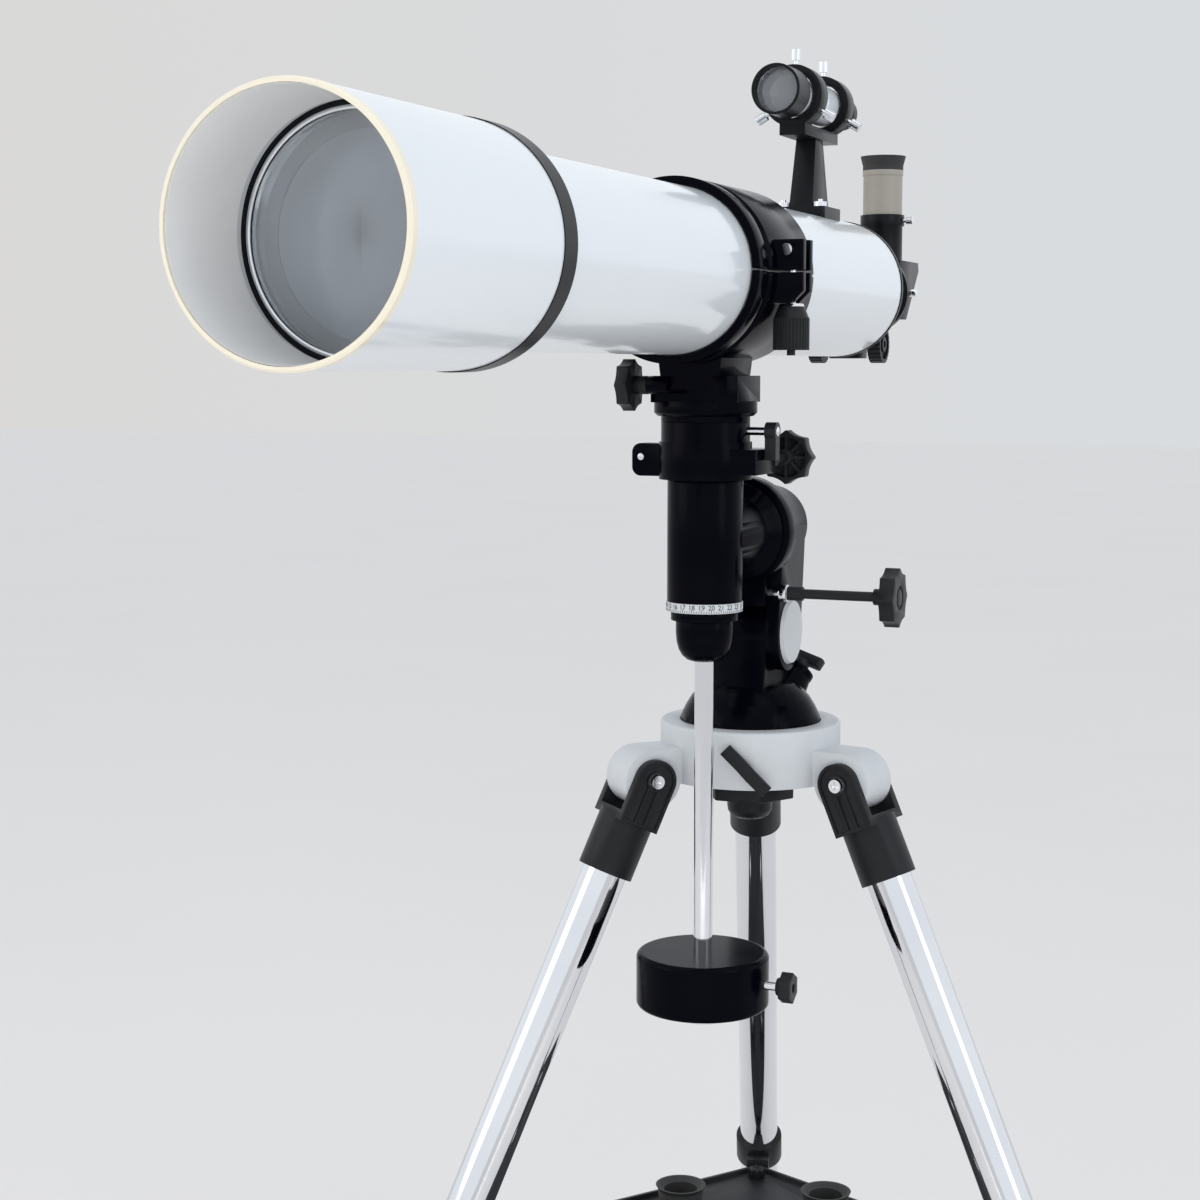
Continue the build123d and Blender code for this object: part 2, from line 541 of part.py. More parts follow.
def tube_rings():
    lower = ring_half(-1)
    foot = prism_y([(-27, SADDLE_TOP), (27, SADDLE_TOP), (30, Z - RING_R + 14), (-30, Z - RING_R + 14)],
                   DEC_Y - 42, DEC_Y + 42)
    foot -= rod(TUBE_R + LINER + 1, 200, (0, DEC_Y - 100, Z), Y_AXIS)
    lower += foot
    lower += dovetail()
    slot = 5 + GAP
    lower -= block(CLAMP_X - slot, LUG_X + 5, LUG_Y - slot, LUG_Y + slot, Z - LUG_H - 5, Z + 5)
    save("tube_ring_lower", lower)
    upper = ring_half(1)
    upper -= block(CLAMP_X - 7, LUG_X + 5, LUG_Y - slot, LUG_Y + slot, Z - 5, Z + LUG_H + 5)
    upper -= rod(3 + FIT, 60, (CLAMP_X, LUG_Y - 30, Z + 18), Y_AXIS)
    save("tube_ring_upper", upper)
    liners = []
    for sign in (-1, 1):
        felt = pipe(TUBE_R + LINER, TUBE_R + 0.09, RING_LENGTH - 8, (0, RING_FRONT + 4, Z), Y_AXIS)
        z0, z1 = (Z + LUG_SPLIT / 2, Z + 90) if sign > 0 else (Z - 90, Z - LUG_SPLIT / 2)
        liners.append(felt & block(-90, 90, RING_FRONT, RING_FRONT + RING_LENGTH, z0, z1))
    save("ring_liners", *liners)
    pin = rod(3, 32, (CLAMP_X, LUG_Y - 16, Z + 18), Y_AXIS)
    for y in (LUG_Y - 16.5, LUG_Y + 14):
        pin += rod(5, 2.5, (CLAMP_X, y, Z + 18), Y_AXIS)
    ring_bolts = [pin]
    for y in (LUG_Y - HINGE_SPREAD, LUG_Y + HINGE_SPREAD):
        bolt = rod(3, 2 * LUG_H + 4, (-CLAMP_X, y, Z - LUG_H - 2)) + rod(5, 3, (-CLAMP_X, y, Z + LUG_H))
        ring_bolts.append(bolt + rod(5, 3, (-CLAMP_X, y, Z - LUG_H - 3)))
    save("ring_bolts", *ring_bolts)
    top, low = Z + 18, Z - LUG_H
    eye = rod(6.2, 9.4, (CLAMP_X, LUG_Y - 4.7, top), Y_AXIS)
    eye += rod(3.6, top - low + 44, (CLAMP_X, LUG_Y, low - 44))
    knob = cone(15.0, 10, 12, (CLAMP_X, LUG_Y, low - 0.5 - 12))
    knob += fluted(15.5, 27, (CLAMP_X, LUG_Y, low - 0.5 - 39), (0, 0, 1), 32, 0.8)
    eye -= rod(3 + FIT, 20, (CLAMP_X, LUG_Y - 10, top), Y_AXIS)
    save("clamp_bolt", eye + knob)


# ---------------------------------------------------------------- saddle and declination axis
def lock_lever(root, way, length, drop):
    """A threaded stem along X with a boss on its end and a flat blade that hangs from the boss."""
    x, y, z = root
    tip = x + way * length
    x0, x1 = sorted((tip - way * 5, tip + way * 5))
    lever = rod(3.6, length, root, (way, 0, 0)) + rod(8, 10, (x0, y, z), (1, 0, 0))
    return lever + block(x0, x1, y - 5.5, y + 5.5, z - drop, z)


def saddle():
    low = NECK_TOP - SADDLE_DISC_H
    plate = block(-SADDLE_W, SADDLE_W, DEC_Y - SADDLE_L, DEC_Y + SADDLE_L, NECK_TOP - 1, SADDLE_TOP)
    plate = chamfer(plate.edges().filter_by(Axis.Z), 7)
    plate += turned([(0, 0), (SADDLE_DISC_R - 3, 0), (SADDLE_DISC_R, 3), (SADDLE_DISC_R, SADDLE_DISC_H),
                     (0, SADDLE_DISC_H)], (0, DEC_Y, low))
    plate += rod(NECK_R, low - COLLAR_TOP, (0, DEC_Y, COLLAR_TOP + GAP))
    plate += rod(7.8, SADDLE_W - 4, (-SADDLE_W, SADDLE_SCREW_Y, SADDLE_SCREW_Z), (1, 0, 0))
    plate -= prism_y(DOVETAIL, DEC_Y - SADDLE_L - 5, DEC_Y + SADDLE_L + 1)
    plate -= rod(5 + FIT, SADDLE_W, (-SADDLE_W - 1, SADDLE_SCREW_Y, SADDLE_SCREW_Z), (1, 0, 0)) & block(
        -90, -DOVE_TOP, -900, 900, 0, 3000)
    plate -= rod(DEC_SHAFT_R, SADDLE_SOCKET, (0, DEC_Y, COLLAR_TOP - 5))
    save("saddle", plate)
    reach = -DOVE_BOTTOM - GAP
    stem = rod(5, SADDLE_KNOB_X + reach, (-SADDLE_KNOB_X, SADDLE_SCREW_Y, SADDLE_SCREW_Z), (1, 0, 0))
    collar = SADDLE_KNOB_X - SADDLE_W - 11 - GAP
    stem += rod(8, collar, (-SADDLE_W - GAP, SADDLE_SCREW_Y, SADDLE_SCREW_Z), (-1, 0, 0))
    grip = lobed(22.5, 11, (-SADDLE_KNOB_X, SADDLE_SCREW_Y, SADDLE_SCREW_Z), (1, 0, 0), 5)
    save("saddle_knob", stem, grip)
    shaft = rod(DEC_SHAFT_R, COLLAR_TOP - 5 + SADDLE_SOCKET - DEC_LOW - 22, (0, DEC_Y, DEC_LOW + 22))
    wheel = pipe(DEC_WORM_X - DEC_WORM_R - 0.5, DEC_SHAFT_R, 14, (0, DEC_Y, WORM_Z - 7))
    save("dec_shaft", shaft, wheel)


def dec_axis():
    housing = rod(DEC_R, DEC_H, (0, DEC_Y, DEC_LOW))
    housing += rod(16, CIRCLE_H + 8, (0, DEC_Y, DEC_LOW - CIRCLE_H - 8))
    housing += rod(30, 8, (0, DEC_Y, DEC_LOW - CIRCLE_H - 8))
    neck_end = RA_DRUM_FRONT - GAP
    housing += rod(DEC_R + 1, neck_end - DEC_Y, (0, DEC_Y, RA_Z), Y_AXIS)
    housing += cone(DEC_R + 1, RA_DRUM_R - 5, 10, (0, neck_end - 16, RA_Z), Y_AXIS)
    housing += rod(RA_DRUM_R - 5, 6, (0, neck_end - 6, RA_Z), Y_AXIS)
    housing -= rod(DEC_SHAFT_R + FIT, DEC_H + 20, (0, DEC_Y, DEC_LOW + 20))
    housing -= rod(BAR_R, 30, (0, DEC_Y, DEC_LOW - 20))
    housing -= rod(RA_SHAFT_R, 20, (0, neck_end - 12, RA_Z), Y_AXIS)
    save("dec_housing", housing)

    top = rod(DEC_RING_R, DEC_RING_H, (0, DEC_Y, DEC_TOP)) + rod(NECK_R, COLLAR_H, (0, DEC_Y, RING_TOP))
    top += block(DEC_WORM_X - 15, DEC_EAR_X, DEC_Y - 26, DEC_Y + 30, WORM_Z - 11, WORM_Z + 11)
    ear = block(-DEC_RING_R - 25, -30, DEC_Y - 9, DEC_Y + 9, RING_TOP - 31, RING_TOP - 2)
    top += fillet(ear.edges().filter_by(Axis.Y).group_by(Axis.X)[0], 8)
    worm_at = (DEC_WORM_X, DEC_Y - 22, WORM_Z)
    top -= rod(DEC_WORM_R + 0.5, 44, worm_at, Y_AXIS)
    top -= rod(DEC_WORM_X - DEC_WORM_R - 0.5 + 1, 16, (0, DEC_Y, WORM_Z - 8))
    top -= rod(DEC_SHAFT_R + FIT, 90, (0, DEC_Y, DEC_TOP - 10))
    top -= rod(4 + FIT, 80, (DEC_WORM_X, DEC_Y - 24, WORM_Z), Y_AXIS)
    lock_at = (NECK_R - 12, DEC_Y, DEC_LOCK_Z)
    top -= rod(3.6 + FIT, 30, lock_at, (1, 0, 0))
    save("dec_worm_housing", top)

    start = DEC_Y - 22
    worm = rod(4, DEC_KNOB_Y + 8 - start, (DEC_WORM_X, start, WORM_Z), Y_AXIS)
    worm += rod(DEC_WORM_R, 30, (DEC_WORM_X, DEC_Y - 15, WORM_Z), Y_AXIS)
    worm += rod(7, 20, (DEC_WORM_X, DEC_Y + 34, WORM_Z), Y_AXIS)
    knob = lobed(24.5, 13, (DEC_WORM_X, DEC_KNOB_Y, WORM_Z), Y_AXIS, 4)
    # the face towards the tube's front is hollow, with eight spokes from its hub to its rim
    dish = pipe(18.5, 7.5, 7, (DEC_WORM_X, DEC_KNOB_Y - 1, WORM_Z), Y_AXIS)
    for i in range(4):
        spoke = Rot(0, 45 * i, 0) * block(-1.3, 1.3, -2, 9, -20, 20)
        dish -= Pos(DEC_WORM_X, DEC_KNOB_Y - 1, WORM_Z) * spoke
    knob -= dish
    knob += pipe(7.5, 4, 12, (DEC_WORM_X, DEC_KNOB_Y - 12, WORM_Z), Y_AXIS)
    save("dec_slow_control", worm, knob)
    lock_start = NECK_R - 11.5
    save("dec_lock_lever", lock_lever((lock_start, DEC_Y, DEC_LOCK_Z), 1, DEC_EAR_X + 6.5 - lock_start, 25))

    save("dec_circle", pipe(DEC_R + 0.5, 16 + GAP, CIRCLE_H - 2 * GAP, (0, DEC_Y, DEC_LOW - CIRCLE_H + GAP)))


# ---------------------------------------------------------------- counterweight
def counterweight():
    bar = rod(BAR_R, CUP_TOP + 26 - BAR_END, (0, DEC_Y, BAR_END))
    cup = turned([(BAR_R, 0), (11.5, 0), (16, 1.6), (20, 5.2), (23, 10.4), (24.8, 17), (25.6, 25), (25.6, 37),
                  (BAR_R, 37)], (0, DEC_Y, CUP_TOP - 37))
    save("bar_lock_ring", cup)
    save("counterweight_bar", bar, pipe(16, BAR_R, NUT_H, (0, DEC_Y, BAR_END)))
    weight = fillet(Cylinder(WEIGHT_R, WEIGHT_H).edges().filter_by(GeomType.CIRCLE), 5)
    weight = Pos(0, DEC_Y, WEIGHT_BOTTOM + WEIGHT_H / 2) * (weight - Cylinder(BAR_R + FIT, 2 * WEIGHT_H))
    z = WEIGHT_BOTTOM + WEIGHT_H / 2
    weight -= rod(4 + FIT, 80, (0, DEC_Y, z), (1, 0, 0))
    save("counterweight", weight)
    screw = rod(4, WEIGHT_R + 7 - BAR_R - GAP, (BAR_R + GAP, DEC_Y, z), (1, 0, 0))
    start = WEIGHT_R + 6
    screw += rod(4, 12, (start, DEC_Y, z), (1, 0, 0))
    grip = lobed(14, 11, (start + 9, DEC_Y, z), (1, 0, 0), 4, 6)
    grip += pipe(8, 4, 5, (start + 5, DEC_Y, z), (1, 0, 0))
    save("counterweight_knob", screw, grip)


# ---------------------------------------------------------------- polar axis
def polar_axis():
    front = RA_DRUM_REAR - 4
    body = rod(RA_R, RA_REAR - front, (0, front, RA_Z), Y_AXIS)
    body += rod(RA_DRUM_R, RA_DRUM_REAR - RA_DRUM_FRONT, (0, RA_DRUM_FRONT, RA_Z), Y_AXIS)
    inner = RA_R - CHEEK
    for side in (-1, 1):
        x0, x1 = sorted((side * inner, side * RA_R))
        outline = [(-36, PIVOT_Z + 6), (36, PIVOT_Z + 6), (RA_REAR - 3, RA_Z), (RA_DRUM_REAR, RA_Z)]
        body += prism_x(outline, x0, x1)
        body += rod(36.5, CHEEK, (x0, 0, PIVOT_Z), (1, 0, 0))
    worm_z = RA_Z - RA_WORM_DROP
    body += block(-28, 28, RA_WORM_Y - 11.5, RA_WORM_Y + 12, worm_z - 12, worm_z + 16)
    body -= rod(RA_SHAFT_R + FIT, 200, (0, RA_DRUM_FRONT - 20, RA_Z), Y_AXIS)
    wheel_r = RA_WORM_DROP - RA_WORM_R - 0.5
    body -= rod(wheel_r + 0.6, 14, (0, RA_WORM_Y - 7, RA_Z), Y_AXIS)
    body -= rod(RA_WORM_R + 0.5, 44, (-22, RA_WORM_Y, worm_z), (1, 0, 0))
    body -= rod(4 + FIT, 80, (-25, RA_WORM_Y, worm_z), (1, 0, 0))
    body -= rod(8 + FIT, 120, (-60, 0, PIVOT_Z), (1, 0, 0))
    body -= rod(3.6 + FIT, 40, (-46, RA_WORM_Y, RA_Z - 14), (-1, 0, 0))
    cover = turned([(0, 0), (RA_R, 0), (RA_R, 3), (RA_R - 4, 8), (0, 8)], (0, RA_REAR, RA_Z), Y_AXIS)
    save("polar_housing", body, cover)
    caps = [cone(CAP_R, CAP_R - 1.5, 3.4, (s * RA_R, 0, PIVOT_Z), (s, 0, 0)) for s in (-1, 1)]
    save("latitude_caps", *caps)
    shaft_start = RA_DRUM_FRONT - GAP - 12
    shaft = rod(RA_SHAFT_R, RA_REAR - 8 - shaft_start, (0, shaft_start, RA_Z), Y_AXIS)
    save("ra_shaft", shaft, pipe(wheel_r, RA_SHAFT_R, 12, (0, RA_WORM_Y - 6, RA_Z), Y_AXIS))
    joint = RA_R + 0.8
    worm = rod(4, joint + 26, (-24, RA_WORM_Y, worm_z), (1, 0, 0))
    worm += rod(RA_WORM_R, 28, (-14, RA_WORM_Y, worm_z), (1, 0, 0))
    worm += rod(8, 7, (joint, RA_WORM_Y, worm_z), (1, 0, 0))
    worm += rod(6.5, 61 - joint, (joint, RA_WORM_Y, worm_z), (1, 0, 0))
    worm += rod(4.5, 68, (60, RA_WORM_Y, worm_z), (1, 0, 0))
    knob = rod(7.5, 10, (128, RA_WORM_Y, worm_z), (1, 0, 0))
    knob += lobed(27, 14, (138, RA_WORM_Y, worm_z), (1, 0, 0))
    knob -= pipe(11, 8, 3, (150.5, RA_WORM_Y, worm_z), (1, 0, 0))
    save("ra_slow_control", worm, knob)
    save("ra_lock_lever", lock_lever((-48, RA_WORM_Y, RA_Z - 14), -1, 16, 28))


def mount_base():
    inner = RA_R - CHEEK - GAP
    base = turned([(0, -16), (BASE_R, -16), (BASE_R, 3), (BASE_R - 1.6, 7), (BASE_R - 5, 14),
                   (BASE_R - 10, 22),
                   (BASE_R - 18, 31), (BASE_R - 24, 36), (0, 36)], (0, 0, HUB_TOP))
    base += prism_x([(-46, BASE_TOP - 2), (46, BASE_TOP - 2), (30, PIVOT_Z), (-30, PIVOT_Z)], -inner, inner)
    base += rod(32, 2 * inner, (-inner, 0, PIVOT_Z), (1, 0, 0))
    base += cone(26, 15, 44, BOLT_AT, BOLT_WAY) + rod(17, 5, BOLT_AT + 39 * BOLT_WAY, BOLT_WAY)
    base -= rod(4 + FIT, 80, BOLT_AT, BOLT_WAY)
    base -= rod(8 + FIT, 120, (-60, 0, PIVOT_Z), (1, 0, 0))
    base -= rod(8 + FIT, 30, (0, 0, HUB_TOP - 20))
    bolt = rod(8, 2 * RA_R - 1, (-RA_R + 0.5, 0, PIVOT_Z), (1, 0, 0))
    save("mount_base", base, bolt)


def latitude_bolt():
    """Latitude bolt with a flat cross handle, in the slanted boss of the base."""
    d = BOLT_WAY
    stem = rod(4, 56, BOLT_AT + 6 * d, d)
    stem += rod(8, 8, BOLT_AT + 45 * d, d)
    handle = Plane(origin=BOLT_AT + 57 * d, x_dir=Vector(0, -0.72, 0.6), z_dir=d)
    save("latitude_bolt", stem + handle * fillet(Box(11, 40, 9).edges().filter_by(Axis.Z), 4))


# ---------------------------------------------------------------- stand
def polar(r, angle, z):
    """A point at a radius and a bearing about the stand's middle."""
    return (r * cos(radians(angle)), r * sin(radians(angle)), z)


def leg_plane(angle):
    """Frame of a leg: Z runs down the leg from its pivot, X lies along the pivot bolt."""
    a, t = radians(angle), LEG_SLOPE
    return Plane(origin=polar(LEG_PIVOT_R, angle, LEG_PIVOT_Z), x_dir=(-sin(a), cos(a), 0),
                 z_dir=(cos(a) * sin(t), sin(a) * sin(t), -cos(t)))


def hub():
    top, low = HUB_TOP, HUB_TOP - HUB_H
    body = rod(HUB_R, HUB_H, (0, 0, low))
    body = fillet(body.edges().group_by(Axis.Z)[-1], 3)
    for angle in LEG_ANGLES:
        arm = block(40, LEG_PIVOT_R, -FORK_LUG, FORK_LUG, low, LEG_PIVOT_Z + ARM_R)
        arm += rod(ARM_R, 2 * FORK_LUG, (LEG_PIVOT_R, -FORK_LUG, LEG_PIVOT_Z), Y_AXIS)
        body += Rot(0, 0, angle) * arm
    body -= rod(HUB_BORE, 16 + GAP, (0, 0, top - 16 - GAP))
    body -= rod(9, HUB_H + 4, (0, 0, low - 2))
    for angle in LEG_ANGLES:
        bore = rod(BOLT_R, 2 * FORK_LUG + 4, (LEG_PIVOT_R, -FORK_LUG - 2, LEG_PIVOT_Z), Y_AXIS)
        body -= Rot(0, 0, angle) * bore
    body -= Rot(0, 0, 286.1) * rod(5 + FIT, 60, (HUB_BORE - 10, 0, low + 20), (1, 0, 0))
    save("tripod_head", body)
    bolts = []
    for angle in LEG_ANGLES:
        w = FORK_LUG + FORK_EAR
        bolt = rod(BOLT_R, 2 * w, (0, -w, 0), Y_AXIS)
        for side in (-1, 1):
            head = cone(7.5, 6.2, 3.2, (0, side * w, 0), (0, side, 0))
            end = side * (w + 3.2)
            head -= block(-4, 4, end - 1.4, end + 1.4, -0.9, 0.9)
            bolt += head - block(-0.9, 0.9, end - 1.4, end + 1.4, -4, 4)
        bolts.append(Rot(0, 0, angle) * Pos(LEG_PIVOT_R, 0, LEG_PIVOT_Z) * bolt)
    save("leg_pivot_bolts", *bolts)


def fork():
    """Black fork and sleeve at the top of a leg, with a ribbed pocket in each ear."""
    w, wide = FORK_LUG, FORK_LUG + FORK_EAR
    part = rod(LEG_R + 5, SLEEVE_END - EAR_LENGTH + 6, (0, 0, EAR_LENGTH - 6))
    part += block(-wide, wide, -EAR_R, EAR_R, EAR_LENGTH - 9, EAR_LENGTH)
    for side in (-1, 1):
        x0, x1 = sorted((side * w, side * wide))
        part += rod(EAR_R, FORK_EAR, (x0, 0, 0), (1, 0, 0)) + block(x0, x1, -EAR_R, EAR_R, 0, EAR_LENGTH)
        x0, x1 = sorted((side * (wide - POCKET), side * (wide + 1)))
        edge = EAR_R - 3
        pocket = rod(edge, x1 - x0, (x0, 0, 0), (1, 0, 0)) + block(x0, x1, -edge, edge, 0, EAR_LENGTH - 3)
        pocket -= rod(9.5, 2 * x1 - 2 * x0, (x0 - 1, 0, 0), (1, 0, 0))
        for y in (-5, 5):
            pocket -= block(x0 - 1, x1 + 1, y - 1.1, y + 1.1, 6, EAR_LENGTH)
        part -= pocket
    part -= rod(LEG_R, SLEEVE_END, (0, 0, LEG_TUBE_START))
    part -= rod(BOLT_R, 100, (-50, 0, 0), (1, 0, 0))
    return part


def leg(i):
    name, at = LEG_NAMES[i], leg_plane(LEG_ANGLES[i])
    tube = pipe(LEG_R, LEG_R - LEG_WALL, LEG_TUBE_END - LEG_TUBE_START, (0, 0, LEG_TUBE_START))
    tube -= rod(4 + FIT, LEG_R, (0, LOWER_R, LEG_TUBE_END - 12), Y_AXIS)
    lower = pipe(LOWER_R, LOWER_R - 1.6, LEG_LENGTH - 14 - LOWER_START, (0, 0, LOWER_START))
    start = LEG_LENGTH - FOOT_LENGTH
    foot = rod(FOOT_R, FOOT_LENGTH + 38, (0, 0, start)) + cone(LOWER_R + 1.2, FOOT_R, 14, (0, 0, start - 14))
    foot -= rod(LOWER_R, FOOT_LENGTH, (0, 0, start - 14))
    floor_cut = block(-900, 900, -900, 900, -400, 0)
    save(f"lower_leg_{name}", at * lower, (at * foot) - floor_cut)
    return at, at * tube


def stand():
    hub()
    planes = [leg_plane(a) for a in LEG_ANGLES]
    save("leg_forks", *[p * fork() for p in planes])
    tubes, clamps = [], []
    clamp = pipe(LEG_R + 5, LEG_R, 40, (0, 0, LEG_TUBE_END - 34))
    clamp += pipe(LEG_R + 5, LOWER_R + 0.09, 6, (0, 0, LEG_TUBE_END))
    clamp += block(-11, 11, LEG_R, LEG_R + 13, LEG_TUBE_END - 30, LEG_TUBE_END + 6)
    clamp -= rod(LEG_R, 34, (0, 0, LEG_TUBE_END - 34))
    screw_hole = rod(4 + FIT, 60, (0, LOWER_R - 4, LEG_TUBE_END - 12), Y_AXIS)
    bush = pipe(LEG_R - LEG_WALL, LOWER_R + 0.09, 14, (0, 0, LEG_TUBE_END - 36))
    for i in range(3):
        at, tube = leg(i)
        tubes.append(tube)
        name = LEG_NAMES[i]
        lock = rod(4, LEG_R + 25 - LOWER_R - GAP, (0, LOWER_R + GAP, LEG_TUBE_END - 12), Y_AXIS)
        grip = lobed(14, 12, (0, LEG_R + 14, LEG_TUBE_END - 12), Y_AXIS, 4, 6)
        save(f"leg_lock_knob_{name}", at * lock, at * grip)
        clamps += [at * (clamp - screw_hole), at * bush]
    save("upper_legs", *tubes)
    save("leg_clamps_and_collars", *clamps, *leg_collars())


def leg_collars():
    """A collar round each leg, with an arm that carries a corner of the tray."""
    s = (LEG_PIVOT_Z - COLLAR_Z) / cos(LEG_SLOPE)
    reach = COLLAR_REACH
    collars = []
    for angle in LEG_ANGLES:
        ring = leg_plane(angle) * pipe(LEG_R + 4.5, LEG_R, 30, (0, 0, s - 15))
        arm = block(TRAY_OUT - 34, reach - LEG_R - 1, -12, 12, TRAY_Z - 5, TRAY_Z)
        arm += block(TRAY_OUT + 5, reach - LEG_R - 1, -12, 12, TRAY_Z, TRAY_Z + 12)
        arm = Rot(0, 0, angle) * arm
        bore = leg_plane(angle) * rod(LEG_R, 200, (0, 0, s - 100))
        collars.append(ring + (arm - bore))
    return collars


def tray():
    corners = []
    for angle in LEG_ANGLES:
        corners.append(polar(TRAY_OUT, angle, 0)[:2])
        corners.append(polar(TRAY_IN, angle + 60, 0)[:2])
    outline = make_face(Polyline([(x, y, TRAY_Z) for x, y in corners], close=True))
    plate = extrude(outline, TRAY_RIM, dir=(0, 0, 1))
    inner = offset(outline, -4)
    plate -= Pos(0, 0, TRAY_T) * extrude(inner, TRAY_RIM, dir=(0, 0, 1))
    for angle in LEG_ANGLES:
        for turn in (-TRAY_HOLE_TURN, TRAY_HOLE_TURN):
            plate -= rod(BARREL_R + TRAY_HOLE_PLAY, 20, polar(TRAY_HOLE_AT, angle + turn, TRAY_Z - 5))
        plate -= rod(4, 20, polar(TRAY_OUT - 24, angle, TRAY_Z - 5))
    screws = []
    for angle in LEG_ANGLES:
        x, y, z = polar(TRAY_OUT - 24, angle, TRAY_Z + TRAY_T)
        screws.append(rod(4, TRAY_T, (x, y, TRAY_Z)) + fluted(9, 10, (x, y, z), (0, 0, 1), 8, 2))
    save("accessory_tray", plate, *screws)
    spares = []
    for turn in (-TRAY_HOLE_TURN, TRAY_HOLE_TURN):
        x, y, z = polar(TRAY_HOLE_AT, LEG_ANGLES[0] + turn, TRAY_Z + TRAY_T)
        place = (x, y, z, z + SPARE_H, 23.0)
        spares += [eyepiece_body(*place), eyecup(*place)]
    save("spare_eyepieces", *spares)


def azimuth_lock():
    """Screw through the hub's rim with a cranked blade that slants down to the right."""
    z = HUB_TOP - HUB_H + 20
    near = HUB_R + 3
    crank = [(near, -27), (near, -7), (near + 4, 7), (near + 4, 27), (near + 10, 27), (near + 10, 6),
             (near + 6, -8), (near + 6, -27)]
    face = make_face(Polyline([(x, y, -6) for x, y in crank], close=True))
    blade = Rot(-45, 0, 0) * extrude(face, 12, dir=(0, 0, 1))
    lever = rod(5, near + 3 - HUB_BORE + 8, (HUB_BORE - 8, 0, 0), (1, 0, 0)) + blade
    save("azimuth_lock_lever", Rot(0, 0, 286.1) * Pos(0, 0, z) * lever)


def mounting_knob():
    low = HUB_TOP - HUB_H - GAP
    knob = extrude(Pos(0, 0, low - 21) * RegularPolygon(43.7, 6), 21)
    knob += turned([(0, 0), (13, 0), (18, 2.5), (20.8, 7), (21.5, 12), (21.5, 21), (0, 21)], (0, 0, low - 42))
    knob -= rod(10, 5, (0, 0, low - 42))
    knob += rod(8, HUB_H - 16 + 21 + 12, (0, 0, low - 20))
    save("mounting_knob", knob)


os.makedirs("parts", exist_ok=True)
optical_tube()
focuser()
drawtube()
diagonal()
eyepiece()
finder()
tube_rings()
saddle()
dec_axis()
counterweight()
polar_axis()
mount_base()
latitude_bolt()
stand()
tray()
azimuth_lock()
mounting_knob()
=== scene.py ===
# %% [markdown]
# # A refracting telescope on its stand
# The frame comes from the CAD model: every CAD node is already in place, in metres.
# This file gives each of them its finish and adds the small parts that a plain solid lacks.

# %% Load the frame
import json
import math
import bpy
from mathutils import Euler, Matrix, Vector


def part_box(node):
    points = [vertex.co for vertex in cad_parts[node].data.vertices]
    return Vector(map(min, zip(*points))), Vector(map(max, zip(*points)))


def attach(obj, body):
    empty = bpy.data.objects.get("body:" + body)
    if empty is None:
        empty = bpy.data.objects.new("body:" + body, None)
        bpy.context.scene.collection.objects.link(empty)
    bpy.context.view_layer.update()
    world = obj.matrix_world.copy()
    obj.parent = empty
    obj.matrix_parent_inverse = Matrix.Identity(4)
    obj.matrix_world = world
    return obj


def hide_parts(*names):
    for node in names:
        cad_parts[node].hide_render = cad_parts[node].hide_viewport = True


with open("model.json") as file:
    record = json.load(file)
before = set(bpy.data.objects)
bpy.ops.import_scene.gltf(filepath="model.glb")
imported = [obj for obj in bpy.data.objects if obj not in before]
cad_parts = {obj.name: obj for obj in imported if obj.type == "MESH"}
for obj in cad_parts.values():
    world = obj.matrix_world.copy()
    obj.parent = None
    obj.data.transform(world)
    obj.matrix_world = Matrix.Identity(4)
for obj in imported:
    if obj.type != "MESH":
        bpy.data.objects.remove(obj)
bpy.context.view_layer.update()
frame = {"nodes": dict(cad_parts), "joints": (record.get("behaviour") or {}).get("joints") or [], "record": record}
nodes = frame["nodes"]
print("nodes loaded:", len(nodes))

# %% [markdown]
# ## Where things are
# Every place is read from the frame, so that a piece follows the CAD model.
# A mount or a joint gives an axis, and a node's box gives its middle and its ends.


# %% Places read from the frame
def middle(node):
    """The middle of a node's box."""
    low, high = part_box(node)
    return (low + high) / 2


JOINTS = {j["name"]: j for j in frame["joints"]}
MOUNTS = {m["name"]: m for m in frame["record"]["mounts"]}
TUBE_AXIS = middle("main_tube")
shield_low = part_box("dew_shield")[0]
print("optical axis height:", round(TUBE_AXIS.z, 4))

# %% [markdown]
# ## The camera
# The lens looks at the telescope from its front right, a little above the level of the mount.

# %% Camera
camera_data = bpy.data.cameras.new("camera")
camera_data.lens = 63.2
camera_data.sensor_width = 36.0
camera = bpy.data.objects.new("camera", camera_data)
camera.location = (0.6278, -1.8852, TUBE_AXIS.z - 0.0779)
camera.rotation_euler = Euler((math.radians(90 - 6.389), 0, math.radians(22.553)))
bpy.context.scene.collection.objects.link(camera)
bpy.context.scene.camera = camera

# %% [markdown]
# ## Shared effects
# Real paint and plastic are never one flat value. Two node groups serve all the finishes:
# one varies colour and roughness in soft patches, the other gives the surface a fine relief.


# %% Node groups
def new_group(name, inputs, outputs):
    """An empty shader node group with named sockets."""
    group = bpy.data.node_groups.new(name, "ShaderNodeTree")
    for label, kind, value in inputs:
        socket = group.interface.new_socket(label, in_out="INPUT", socket_type=kind)
        if value is not None:
            socket.default_value = value
    for label, kind in outputs:
        group.interface.new_socket(label, in_out="OUTPUT", socket_type=kind)
    start = group.nodes.new("NodeGroupInput")
    end = group.nodes.new("NodeGroupOutput")
    return group, start, end


